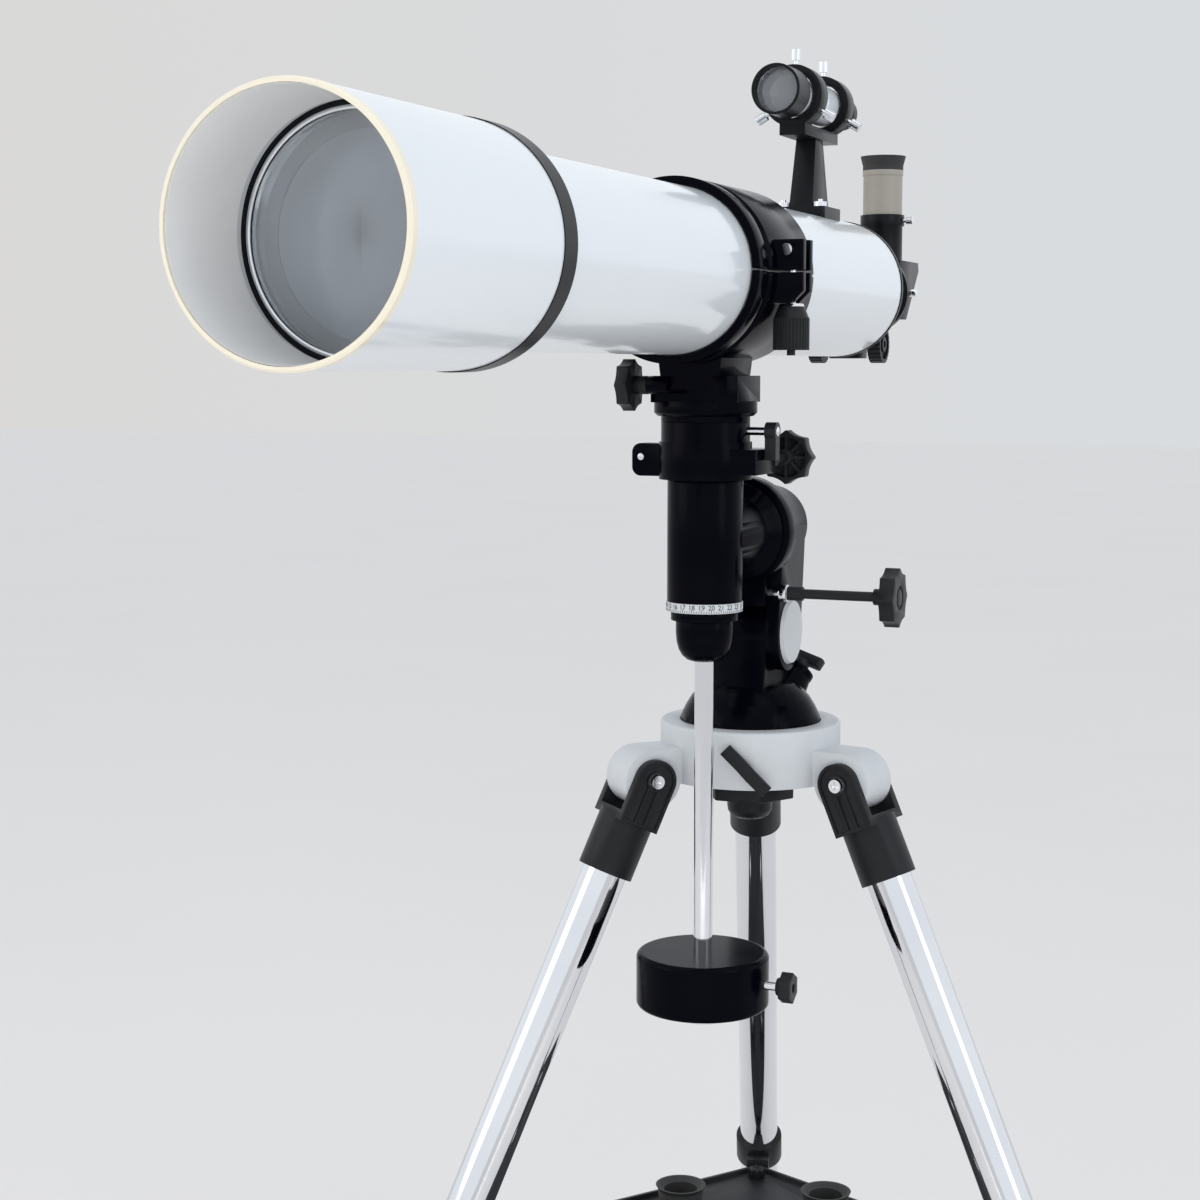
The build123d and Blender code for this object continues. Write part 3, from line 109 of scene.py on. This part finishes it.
def patches_group():
    """Colour and roughness that drift in soft patches."""
    group, start, end = new_group(
        "soft_patches",
        [("Color", "NodeSocketColor", (0.5, 0.5, 0.5, 1)),
         ("Patch color", "NodeSocketColor", (0.4, 0.4, 0.4, 1)),
         ("Scale", "NodeSocketFloat", 20.0), ("Rough low", "NodeSocketFloat", 0.2),
         ("Rough high", "NodeSocketFloat", 0.3)],
        [("Color", "NodeSocketColor"), ("Roughness", "NodeSocketFloat")])
    add, link = group.nodes.new, group.links.new
    place = add("ShaderNodeTexCoord")
    cloud = add("ShaderNodeTexNoise")
    cloud.inputs["Detail"].default_value = 5.0
    link(place.outputs["Object"], cloud.inputs["Vector"])
    link(start.outputs["Scale"], cloud.inputs["Scale"])
    contrast = add("ShaderNodeMapRange")
    contrast.inputs["From Min"].default_value = 0.42
    contrast.inputs["From Max"].default_value = 0.72
    link(cloud.outputs["Fac"], contrast.inputs["Value"])
    mix = add("ShaderNodeMix")
    mix.data_type = "RGBA"
    link(contrast.outputs["Result"], mix.inputs["Factor"])
    link(start.outputs["Color"], mix.inputs["A"])
    link(start.outputs["Patch color"], mix.inputs["B"])
    rough = add("ShaderNodeMapRange")
    link(cloud.outputs["Fac"], rough.inputs["Value"])
    link(start.outputs["Rough low"], rough.inputs["To Min"])
    link(start.outputs["Rough high"], rough.inputs["To Max"])
    link(mix.outputs["Result"], end.inputs["Color"])
    link(rough.outputs["Result"], end.inputs["Roughness"])
    return group


def relief_group():
    """A fine relief: the orange peel of paint or the grain of moulded plastic."""
    group, start, end = new_group(
        "fine_relief",
        [("Scale", "NodeSocketFloat", 400.0), ("Strength", "NodeSocketFloat", 0.1),
         ("Distance", "NodeSocketFloat", 0.0005)],
        [("Normal", "NodeSocketVector")])
    add, link = group.nodes.new, group.links.new
    place = add("ShaderNodeTexCoord")
    grain = add("ShaderNodeTexNoise")
    grain.inputs["Detail"].default_value = 2.0
    bump = add("ShaderNodeBump")
    link(place.outputs["Object"], grain.inputs["Vector"])
    link(start.outputs["Scale"], grain.inputs["Scale"])
    link(grain.outputs["Fac"], bump.inputs["Height"])
    link(start.outputs["Strength"], bump.inputs["Strength"])
    link(start.outputs["Distance"], bump.inputs["Distance"])
    link(bump.outputs["Normal"], end.inputs["Normal"])
    return group


def reach_group():
    """1 where a point lies past a plane that is given by its normal and its distance."""
    group, start, end = new_group(
        "past_plane",
        [("Normal", "NodeSocketVector", (0, 0, 1)), ("Distance", "NodeSocketFloat", 0.0)],
        [("Mask", "NodeSocketFloat")])
    add, link = group.nodes.new, group.links.new
    place = add("ShaderNodeTexCoord")
    along = add("ShaderNodeVectorMath")
    along.operation = "DOT_PRODUCT"
    past = add("ShaderNodeMath")
    past.operation = "GREATER_THAN"
    link(place.outputs["Object"], along.inputs[0])
    link(start.outputs["Normal"], along.inputs[1])
    link(along.outputs["Value"], past.inputs[0])
    link(start.outputs["Distance"], past.inputs[1])
    link(past.outputs[0], end.inputs["Mask"])
    return group


PATCHES, RELIEF, PAST = patches_group(), relief_group(), reach_group()
print("shared effects:", [g.name for g in (PATCHES, RELIEF, PAST)])

# %% [markdown]
# ## The finishes
# Each finish is one Principled BSDF. Its colour and roughness come from the patches group, its
# normal from the relief group, and what is constant, such as the coat, is set on the shader itself.


# %% Finishes
def finish(name, color, patch, rough, metallic=0.0, coat=0.0, scale=18.0, grain=(900.0, 0.05, 0.0003),
           shine=0.5):
    """A painted, moulded or plated finish."""
    material = bpy.data.materials.new(name)
    material.use_nodes = True
    tree = material.node_tree
    shader = tree.nodes["Principled BSDF"]
    shader.inputs["Metallic"].default_value = metallic
    shader.inputs["Coat Weight"].default_value = coat
    shader.inputs["Coat Roughness"].default_value = 0.04
    shader.inputs["Specular IOR Level"].default_value = shine
    patches = tree.nodes.new("ShaderNodeGroup")
    patches.node_tree = PATCHES
    patches.name = "patches"
    patches.inputs["Color"].default_value = (*color, 1)
    patches.inputs["Patch color"].default_value = (*patch, 1)
    patches.inputs["Scale"].default_value = scale
    patches.inputs["Rough low"].default_value = rough[0]
    patches.inputs["Rough high"].default_value = rough[1]
    relief = tree.nodes.new("ShaderNodeGroup")
    relief.node_tree = RELIEF
    relief.inputs["Scale"].default_value = grain[0]
    relief.inputs["Strength"].default_value = grain[1]
    relief.inputs["Distance"].default_value = grain[2]
    tree.links.new(patches.outputs["Color"], shader.inputs["Base Color"])
    tree.links.new(patches.outputs["Roughness"], shader.inputs["Roughness"])
    tree.links.new(relief.outputs["Normal"], shader.inputs["Normal"])
    material.diffuse_color = (*color, 1)
    return material


def masked(tree, mask, first, second, socket):
    """Mix two values by a mask into one socket of the shader."""
    mix = tree.nodes.new("ShaderNodeMix")
    tree.links.new(mask, mix.inputs["Factor"])
    if hasattr(first, "is_linked"):
        tree.links.new(first, mix.inputs["A"])
    else:
        mix.inputs["A"].default_value = first
    mix.inputs["B"].default_value = second
    tree.links.new(mix.outputs["Result"], socket)


def two_tone(name, base, other, normal, distance, metallic=None, rough=None):
    """The base finish, with another colour, and maybe another metal and gloss, past a plane."""
    material = base.copy()
    material.name = name
    tree = material.node_tree
    shader = tree.nodes["Principled BSDF"]
    patches = tree.nodes["patches"]
    past = tree.nodes.new("ShaderNodeGroup")
    past.node_tree = PAST
    past.inputs["Normal"].default_value = normal
    past.inputs["Distance"].default_value = distance
    mask = past.outputs["Mask"]
    mix = tree.nodes.new("ShaderNodeMix")
    mix.data_type = "RGBA"
    tree.links.new(mask, mix.inputs["Factor"])
    tree.links.new(patches.outputs["Color"], mix.inputs["A"])
    mix.inputs["B"].default_value = (*other, 1)
    tree.links.new(mix.outputs["Result"], shader.inputs["Base Color"])
    if metallic is not None:
        masked(tree, mask, shader.inputs["Metallic"].default_value, metallic, shader.inputs["Metallic"])
    if rough is not None:
        masked(tree, mask, patches.outputs["Roughness"], rough, shader.inputs["Roughness"])
    return material


def glass(name, tint, coat_tint=(0.96, 0.98, 1.0), clear=1.0):
    """Coated optical glass: clear, with a bluish gloss from its coating."""
    material = bpy.data.materials.new(name)
    material.use_nodes = True
    tree = material.node_tree
    shader = tree.nodes["Principled BSDF"]
    shader.inputs["IOR"].default_value = 1.2
    shader.inputs["Transmission Weight"].default_value = clear
    shader.inputs["Coat Weight"].default_value = 1.0
    shader.inputs["Coat Roughness"].default_value = 0.01
    shader.inputs["Coat Tint"].default_value = (*coat_tint, 1)
    patches = tree.nodes.new("ShaderNodeGroup")
    patches.node_tree = PATCHES
    patches.inputs["Color"].default_value = (*tint, 1)
    patches.inputs["Patch color"].default_value = (*(0.92 * c for c in tint), 1)
    patches.inputs["Scale"].default_value = 9.0
    patches.inputs["Rough low"].default_value = 0.0
    patches.inputs["Rough high"].default_value = 0.02
    tree.links.new(patches.outputs["Color"], shader.inputs["Base Color"])
    tree.links.new(patches.outputs["Roughness"], shader.inputs["Roughness"])
    return material


WHITE = finish("white_enamel", (0.72, 0.755, 0.785), (0.70, 0.735, 0.765), (0.14, 0.22), coat=0.35, scale=5.0,
               grain=(260, 0.03, 0.0003))
BLACK_GLOSS = finish("black_cast_enamel", (0.0008, 0.0010, 0.0030), (0.0012, 0.0015, 0.0040), (0.14, 0.26),
                     grain=(700, 0.05, 0.0003), shine=0.04)
BLACK_SATIN = finish("black_anodised", (0.004, 0.0045, 0.006), (0.007, 0.0075, 0.009), (0.26, 0.38),
                     grain=(900, 0.08, 0.0003), shine=0.16)
PLASTIC = finish("dark_moulded_plastic", (0.010, 0.0105, 0.012), (0.015, 0.016, 0.018), (0.34, 0.48),
                 grain=(1100, 0.15, 0.0003), shine=0.22)
CHROME = finish("bright_chrome", (0.80, 0.81, 0.83), (0.74, 0.75, 0.78), (0.04, 0.10), metallic=1.0,
                scale=8.0, grain=(300, 0.02, 0.0002))
STEEL = finish("turned_steel", (0.58, 0.58, 0.60), (0.48, 0.48, 0.50), (0.20, 0.34), metallic=1.0,
               grain=(1500, 0.15, 0.0002))
HUB_WHITE = finish("white_moulded_plastic", (0.56, 0.58, 0.60), (0.52, 0.54, 0.56), (0.42, 0.55),
                   grain=(800, 0.12, 0.0003))
FELT = finish("black_felt", (0.02, 0.02, 0.02), (0.04, 0.04, 0.04), (0.85, 0.95), grain=(3000, 0.8, 0.0006))
BEIGE = finish("champagne_barrel", (0.34, 0.315, 0.275), (0.31, 0.285, 0.25), (0.40, 0.52), metallic=0.1,
               grain=(1400, 0.12, 0.0002))
RUBBER = finish("black_rubber", (0.022, 0.022, 0.022), (0.038, 0.037, 0.036), (0.60, 0.75),
                grain=(1800, 0.35, 0.0003))
BAFFLE = finish("flat_grey", (0.70, 0.69, 0.68), (0.64, 0.63, 0.62), (0.6, 0.75))
LENS = glass("coated_lens", (0.95, 0.96, 0.97), clear=0.88)
MIRROR = finish("silvered_mirror", (0.88, 0.89, 0.90), (0.86, 0.87, 0.88), (0.02, 0.04), metallic=1.0)
print("finishes:", len(bpy.data.materials))

# %% [markdown]
# ## Which node has which finish
# A few turned parts carry two finishes in one solid, such as a knob on its bright screw. There a
# plane across the part splits the colour.

# %% Paint the nodes
FINISH_OF = [
    (WHITE, ["main_tube", "finder_tube"]),
    (BLACK_SATIN, ["dew_shield_trim", "lens_cell", "focuser_housing", "diagonal_holder",
                   "diagonal_body", "finder_bracket", "finder_end_cells"]),
    (BAFFLE, ["tube_baffles"]),
    (LENS, ["tube_lenses", "eyepiece_lenses"]),
    (CHROME, ["drawtube", "eyepiece_set_screw", "tube_thumb_screws", "ring_bolts", "counterweight_bar",
              "leg_pivot_bolts", "upper_legs"]),
    (MIRROR, ["diagonal_mirror"]),
    (BEIGE, ["eyepiece_body"]),
    (RUBBER, ["eyepiece_eyecup", "spare_eyepieces"]),
    (STEEL, ["focus_pinion", "dec_shaft", "ra_shaft"]),
    (PLASTIC, ["focus_knobs", "clamp_bolt", "saddle_knob", "dec_slow_control", "dec_lock_lever",
               "counterweight_knob", "ra_slow_control", "ra_lock_lever", "latitude_bolt", "leg_forks",
               "leg_clamps_and_collars", "accessory_tray", "azimuth_lock_lever", "mounting_knob"]),
    (BLACK_GLOSS, ["tube_ring_lower", "tube_ring_upper", "saddle", "dec_housing", "dec_worm_housing",
                   "bar_lock_ring", "counterweight", "polar_housing", "mount_base"]),
    (FELT, ["ring_liners"]),
    (HUB_WHITE, ["dec_circle", "latitude_caps", "tripod_head"]),
]
WEAR = {node: material for material, names in FINISH_OF for node in names}
for leg in "abc":
    WEAR[f"lower_leg_{leg}"] = CHROME
    WEAR[f"leg_lock_knob_{leg}"] = PLASTIC


def dress(name, material):
    """Give one CAD node its finish."""
    mesh = nodes[name].data
    mesh.materials.clear()
    mesh.materials.append(material)


for name, material in WEAR.items():
    dress(name, material)
print("nodes without a finish:", sorted(set(nodes) - set(WEAR) - {"dew_shield"}))

# %% Parts with two finishes in one solid
CHROME_COLOR = (0.78, 0.79, 0.81)
RUBBER_COLOR = (0.024, 0.024, 0.024)
IVORY = (0.80, 0.74, 0.60)
RIM_WIDE = 0.007
dress("dew_shield", two_tone("dew_shield_enamel", WHITE, IVORY, (0, -1, 0), -shield_low.y - RIM_WIDE))

SCREW_SHOWS = 0.0535
clamp_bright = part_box("clamp_bolt")[1].z - SCREW_SHOWS
dress("clamp_bolt",
      two_tone("clamp_bolt_and_knob", PLASTIC, CHROME_COLOR, (0, 0, 1), clamp_bright, 1.0, 0.12))

WEIGHT_SCREW_SHOWS = 0.0108
weight_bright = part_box("counterweight")[1].x + WEIGHT_SCREW_SHOWS
dress("counterweight_knob",
      two_tone("weight_screw_and_knob", PLASTIC, CHROME_COLOR, (-1, 0, 0), -weight_bright, 1.0, 0.12))

RA_JOINT_END = 0.0465
dress("ra_slow_control",
      two_tone("ra_rod_and_knob", PLASTIC, CHROME_COLOR, (-1, 0, 0), -RA_JOINT_END, 1.0, 0.10))

LOCK_BOSS_START = 0.0065
lock_pos = Vector(JOINTS["dec_lock_turn"]["pos_m"])
lock_axis = Vector(JOINTS["dec_lock_turn"]["axis"]).normalized()
lock_bright = lock_axis.dot(lock_pos) + LOCK_BOSS_START
dress("dec_lock_lever",
      two_tone("dec_lever_and_screw", PLASTIC, CHROME_COLOR, tuple(-lock_axis), -lock_bright, 1.0, 0.10))

FOOT_TALL = 0.066
for leg in "abc":
    axis = Vector(JOINTS[f"lower_leg_{leg}_slide"]["axis"])
    foot = Vector(MOUNTS[f"foot_{leg}"]["pos_m"])
    foot_start = axis.dot(foot) - FOOT_TALL
    dress(f"lower_leg_{leg}",
          two_tone(f"leg_{leg}_chrome_and_rubber", CHROME, RUBBER_COLOR, tuple(axis), foot_start, 0.0, 0.7))
print("two-finish parts painted")

# %% [markdown]
# ## Rounded edges on the castings
# A cast or moulded part has no knife edges: its corners are rounded by a fraction of a millimetre,
# and each rounded edge catches a thin line of light. The CAD solids have sharp edges. A copy of each casting
# has its triangles merged back into whole faces, and then a narrow bevel on every sharp edge.


# %% Helpers for pieces
def select_only(obj):
    """Make obj the one selected and active object."""
    bpy.ops.object.select_all(action="DESELECT")
    obj.select_set(True)
    bpy.context.view_layer.objects.active = obj


def settle(obj, name, body, material):
    """Name a finished piece, put its place into its mesh, and let it ride on its body."""
    select_only(obj)
    bpy.ops.object.transform_apply(location=True, rotation=True, scale=True)
    obj.name = name
    obj.data.name = name
    obj.data.materials.clear()
    obj.data.materials.append(material)
    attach(obj, body)
    return obj


BODY_OF = {node: body for body, members in frame["record"]["behaviour"]["bodies"].items() for node in members}


def softened(node, width, segments=2, angle=32):
    """A copy of a CAD node with its sharp edges rounded by width, in place of the node."""
    source = nodes[node]
    copy = bpy.data.objects.new(f"{node}_rounded", source.data.copy())
    bpy.context.scene.collection.objects.link(copy)
    material = source.data.materials[0]
    select_only(copy)
    bpy.ops.object.mode_set(mode="EDIT")
    bpy.ops.mesh.select_all(action="SELECT")
    bpy.ops.mesh.remove_doubles(threshold=0.00002)
    bpy.ops.mesh.dissolve_limited(angle_limit=math.radians(0.3))
    bpy.ops.object.mode_set(mode="OBJECT")
    bevel = copy.modifiers.new("edge", "BEVEL")
    bevel.width = width
    bevel.segments = segments
    bevel.limit_method = "ANGLE"
    bevel.angle_limit = math.radians(angle)
    bevel.use_clamp_overlap = True
    bpy.ops.object.modifier_apply(modifier=bevel.name)
    bpy.ops.object.shade_smooth_by_angle(angle=math.radians(32))
    settle(copy, f"{node}_rounded", BODY_OF[node], material)
    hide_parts(node)
    return copy


# %% Round the castings
CAST = {
    "tube_ring_lower": 0.0009, "tube_ring_upper": 0.0009, "saddle": 0.0012, "dec_housing": 0.0009,
    "dec_worm_housing": 0.0012, "polar_housing": 0.0012, "mount_base": 0.0010, "tripod_head": 0.0016,
    "leg_forks": 0.0008, "finder_bracket": 0.0006, "diagonal_body": 0.0008, "accessory_tray": 0.0007,
    "saddle_knob": 0.0012, "ra_slow_control": 0.0008, "dec_slow_control": 0.0008, "mounting_knob": 0.0012,
    "azimuth_lock_lever": 0.0014, "latitude_bolt": 0.0006, "leg_clamps_and_collars": 0.0007,
    "counterweight_knob": 0.0008, "bar_lock_ring": 0.0006, "focuser_housing": 0.0006,
}
for node, width in CAST.items():
    softened(node, width)
print("castings rounded:", len(CAST))

# %% [markdown]
# ## The setting circle
# The declination circle is a white ring with fine black strokes and the numbers 0 to 23 round it.
# The strokes are thin bars set round the ring by a loop. The numbers are text turned into mesh.

# %% Setting circle marks
circle_low, circle_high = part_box("dec_circle")
circle_mid = (circle_low + circle_high) / 2
CIRCLE_R = (circle_high.x - circle_low.x) / 2
INK = finish("black_ink", (0.012, 0.012, 0.014), (0.02, 0.02, 0.022), (0.5, 0.6))
MARKS, NUMBERS = 96, 24
MARK_PROUD = 0.00012
STROKE_WIDE = 0.0005


def on_circle(obj, turn, height):
    """Place a flat piece on the ring, facing outwards, at a turn and a height."""
    out = Vector((math.cos(turn), math.sin(turn), 0))
    obj.location = (circle_mid.x + CIRCLE_R * out.x, circle_mid.y + CIRCLE_R * out.y, height)
    obj.rotation_euler = Euler((math.radians(90), 0, turn + math.radians(90)))


def join_all(parts, name, body, material):
    """Join placed parts into one piece."""
    for part in parts:
        select_only(part)
        bpy.ops.object.transform_apply(location=True, rotation=True, scale=True)
    bpy.ops.object.select_all(action="DESELECT")
    for part in parts:
        part.select_set(True)
    bpy.context.view_layer.objects.active = parts[0]
    bpy.ops.object.join()
    return settle(bpy.context.object, name, body, material)


bpy.ops.object.select_all(action="DESELECT")
strokes = []
for i in range(MARKS):
    long_mark = i % (MARKS // NUMBERS) == 0
    tall = 0.0032 if long_mark else 0.0018
    bpy.ops.mesh.primitive_cube_add(size=1)
    stroke = bpy.context.object
    stroke.scale = (STROKE_WIDE, tall, 2 * MARK_PROUD)
    on_circle(stroke, 2 * math.pi * i / MARKS, circle_low.z + 0.0004 + tall / 2)
    strokes.append(stroke)
join_all(strokes, "circle_strokes", "dec_circle", INK)
digits = []
for i in range(NUMBERS):
    bpy.ops.object.text_add()
    digit = bpy.context.object
    digit.data.body = str(i)
    digit.data.size = 0.0062
    digit.data.align_x = "CENTER"
    digit.data.extrude = MARK_PROUD
    select_only(digit)
    bpy.ops.object.convert(target="MESH")
    digit = bpy.context.object
    on_circle(digit, 2 * math.pi * i / NUMBERS, circle_high.z - 0.0050)
    digits.append(digit)
join_all(digits, "circle_numbers", "dec_circle", INK)
print("setting circle:", MARKS, "strokes and", NUMBERS, "numbers")

# %% [markdown]
# ## The front of the lens
# A bright threaded ring holds the objective in its black cell, and the inside of the dew shield is painted
# pale grey. The ring is a torus flattened along its axis. The paint is a thin-walled open cylinder.

# %% Lens ring and shield lining
cell_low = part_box("lens_cell")[0]
glass_low, glass_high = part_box("tube_lenses")
RING_R = (glass_high.x - glass_low.x) / 2 + 0.0015
bpy.ops.object.select_all(action="DESELECT")
bpy.ops.mesh.primitive_torus_add(major_radius=RING_R, minor_radius=0.0016, major_segments=128,
                                 minor_segments=14, location=(0, cell_low.y + 0.0003, TUBE_AXIS.z),
                                 rotation=(math.radians(90), 0, 0))
lens_ring = bpy.context.object
lens_ring.scale = (1, 1, 0.6)
bpy.ops.object.shade_smooth()
settle(lens_ring, "lens_retaining_ring", "tube", CHROME)

LINING = finish("pale_grey_lining", (0.84, 0.84, 0.84), (0.80, 0.80, 0.80), (0.35, 0.5))
mouth = MOUNTS["dew_shield_mouth"]["dims"]
shield_bore = mouth["r_mm"] / 1000
depth = mouth["length_mm"] / 1000 - 0.0035
bpy.ops.object.select_all(action="DESELECT")
bpy.ops.mesh.primitive_cylinder_add(vertices=144, radius=shield_bore - 0.0002, depth=depth,
                                    end_fill_type="NOTHING",
                                    location=(0, shield_low.y + 0.002 + depth / 2, TUBE_AXIS.z),
                                    rotation=(math.radians(90), 0, 0))
lining = bpy.context.object
wall = lining.modifiers.new("wall", "SOLIDIFY")
wall.thickness = 0.0003
wall.offset = -1
bpy.ops.object.modifier_apply(modifier=wall.name)
bpy.ops.object.shade_smooth_by_angle(angle=math.radians(30))
settle(lining, "dew_shield_lining", "tube", LINING)
print("lens ring radius:", round(RING_R, 4))

# %% [markdown]
# ## Small screws
# Bright screws that the CAD solids leave out: one on the ear of the worm housing, one in the boss of the lock
# lever, and the thumb screw that holds the diagonal. Each is a short cylinder with a bevelled head.


# %% Screws
def screw(name, at, axis, radius, length, node, bevel):
    """A bright screw whose head ends at a point and whose axis leads out of the part."""
    out = Vector(axis).normalized()
    bpy.ops.object.select_all(action="DESELECT")
    bpy.ops.mesh.primitive_cylinder_add(vertices=32, radius=radius, depth=length,
                                        location=Vector(at) - out * length / 2,
                                        rotation=out.to_track_quat("Z", "Y").to_euler())
    head = bpy.context.object
    edge = head.modifiers.new("edge", "BEVEL")
    edge.width = bevel
    edge.segments = 3
    edge.limit_method = "ANGLE"
    bpy.ops.object.modifier_apply(modifier=edge.name)
    bpy.ops.object.shade_smooth_by_angle(angle=math.radians(35))
    return settle(head, name, BODY_OF[node], CHROME)


ear_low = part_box("dec_worm_housing")[0]
ear_at = (ear_low.x + 0.0085, lock_pos.y - 0.0102, lock_pos.z - 0.0235)
screw("ear_screw", ear_at, (0, -1, 0), 0.0032, 0.0030, "dec_worm_housing", 0.0008)
lever_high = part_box("dec_lock_lever")[1]
lever_at = (lever_high.x + 0.0006, lock_pos.y, lock_pos.z)
screw("lock_lever_screw", lever_at, (1, 0, 0), 0.0042, 0.0020, "dec_lock_lever", 0.0005)
holder_at = (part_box("diagonal_holder")[1].x + 0.0070, middle("diagonal_holder").y, TUBE_AXIS.z)
screw("diagonal_thumb_screw", holder_at, (1, 0, 0), 0.0042, 0.0090, "diagonal_holder", 0.0008)
print("small screws: 3")

# %% [markdown]
# ## Floor and light
# A pale seamless floor and an even light all round, with four soft panels: a warm one on the left, a cool one
# on the right, one above, and a low one in front that lifts the shadows under the tube.


# %% Studio
def area_light(name, at, aim, size, power, color):
    """A soft rectangular lamp that looks at a point."""
    data = bpy.data.lights.new(name, "AREA")
    data.shape = "RECTANGLE"
    data.size, data.size_y = size
    data.energy = power
    data.color = color
    lamp = bpy.data.objects.new(name, data)
    lamp.location = at
    lamp.rotation_euler = (Vector(aim) - Vector(at)).to_track_quat("-Z", "Y").to_euler()
    lamp.visible_camera = False
    bpy.context.scene.collection.objects.link(lamp)
    return lamp


AIM = (0, 0, 1.0)
low_panel = area_light("low_panel", (0.9, -3.0, 0.25), (0, -0.4, 1.28), (3.0, 1.0), 30, (1.0, 0.99, 0.97))
low_panel.visible_glossy = False
area_light("warm_panel", (-3.4, -2.6, 2.6), AIM, (2.4, 2.6), 24, (1.0, 0.95, 0.88))
area_light("cool_panel", (3.4, -1.2, 2.2), AIM, (1.2, 2.6), 14, (0.84, 0.91, 1.0))
area_light("top_panel", (0.0, -0.4, 4.2), AIM, (3.0, 3.0), 12, (1.0, 1.0, 1.0))

BACKDROP_LEFT = (0.700, 0.690, 0.680, 1)
BACKDROP_RIGHT = (0.690, 0.725, 0.760, 1)
LIGHT = (0.92, 0.955, 1.0, 1)


def studio_world():
    """An even light all round, with a backdrop for the camera that turns from warm to cool."""
    world = bpy.data.worlds.new("studio")
    world.use_nodes = True
    tree = world.node_tree
    add, link = tree.nodes.new, tree.links.new
    shade = tree.nodes["Background"]
    place = add("ShaderNodeTexCoord")
    split = add("ShaderNodeSeparateXYZ")
    link(place.outputs["Generated"], split.inputs["Vector"])
    across = add("ShaderNodeMapRange")
    across.inputs["From Min"].default_value = -0.7
    across.inputs["From Max"].default_value = 0.1
    link(split.outputs["X"], across.inputs["Value"])
    wall = add("ShaderNodeMix")
    wall.data_type = "RGBA"
    wall.inputs["A"].default_value = BACKDROP_LEFT
    wall.inputs["B"].default_value = BACKDROP_RIGHT
    link(across.outputs["Result"], wall.inputs["Factor"])
    seen = add("ShaderNodeLightPath")
    pick = add("ShaderNodeMix")
    pick.data_type = "RGBA"
    pick.inputs["A"].default_value = LIGHT
    link(seen.outputs["Is Camera Ray"], pick.inputs["Factor"])
    link(wall.outputs["Result"], pick.inputs["B"])
    link(pick.outputs["Result"], shade.inputs["Color"])
    shade.inputs["Strength"].default_value = 1.0
    return world


bpy.context.scene.world = studio_world()
bpy.ops.mesh.primitive_plane_add(size=60, location=(0, 0, 0))
floor = bpy.context.object
floor.name = "floor"
PALE = finish("pale_floor", (0.735, 0.715, 0.700), (0.725, 0.705, 0.690), (0.7, 0.8), scale=1.0, shine=0.1)
floor.data.materials.append(PALE)
bpy.context.scene.view_settings.view_transform = "Standard"
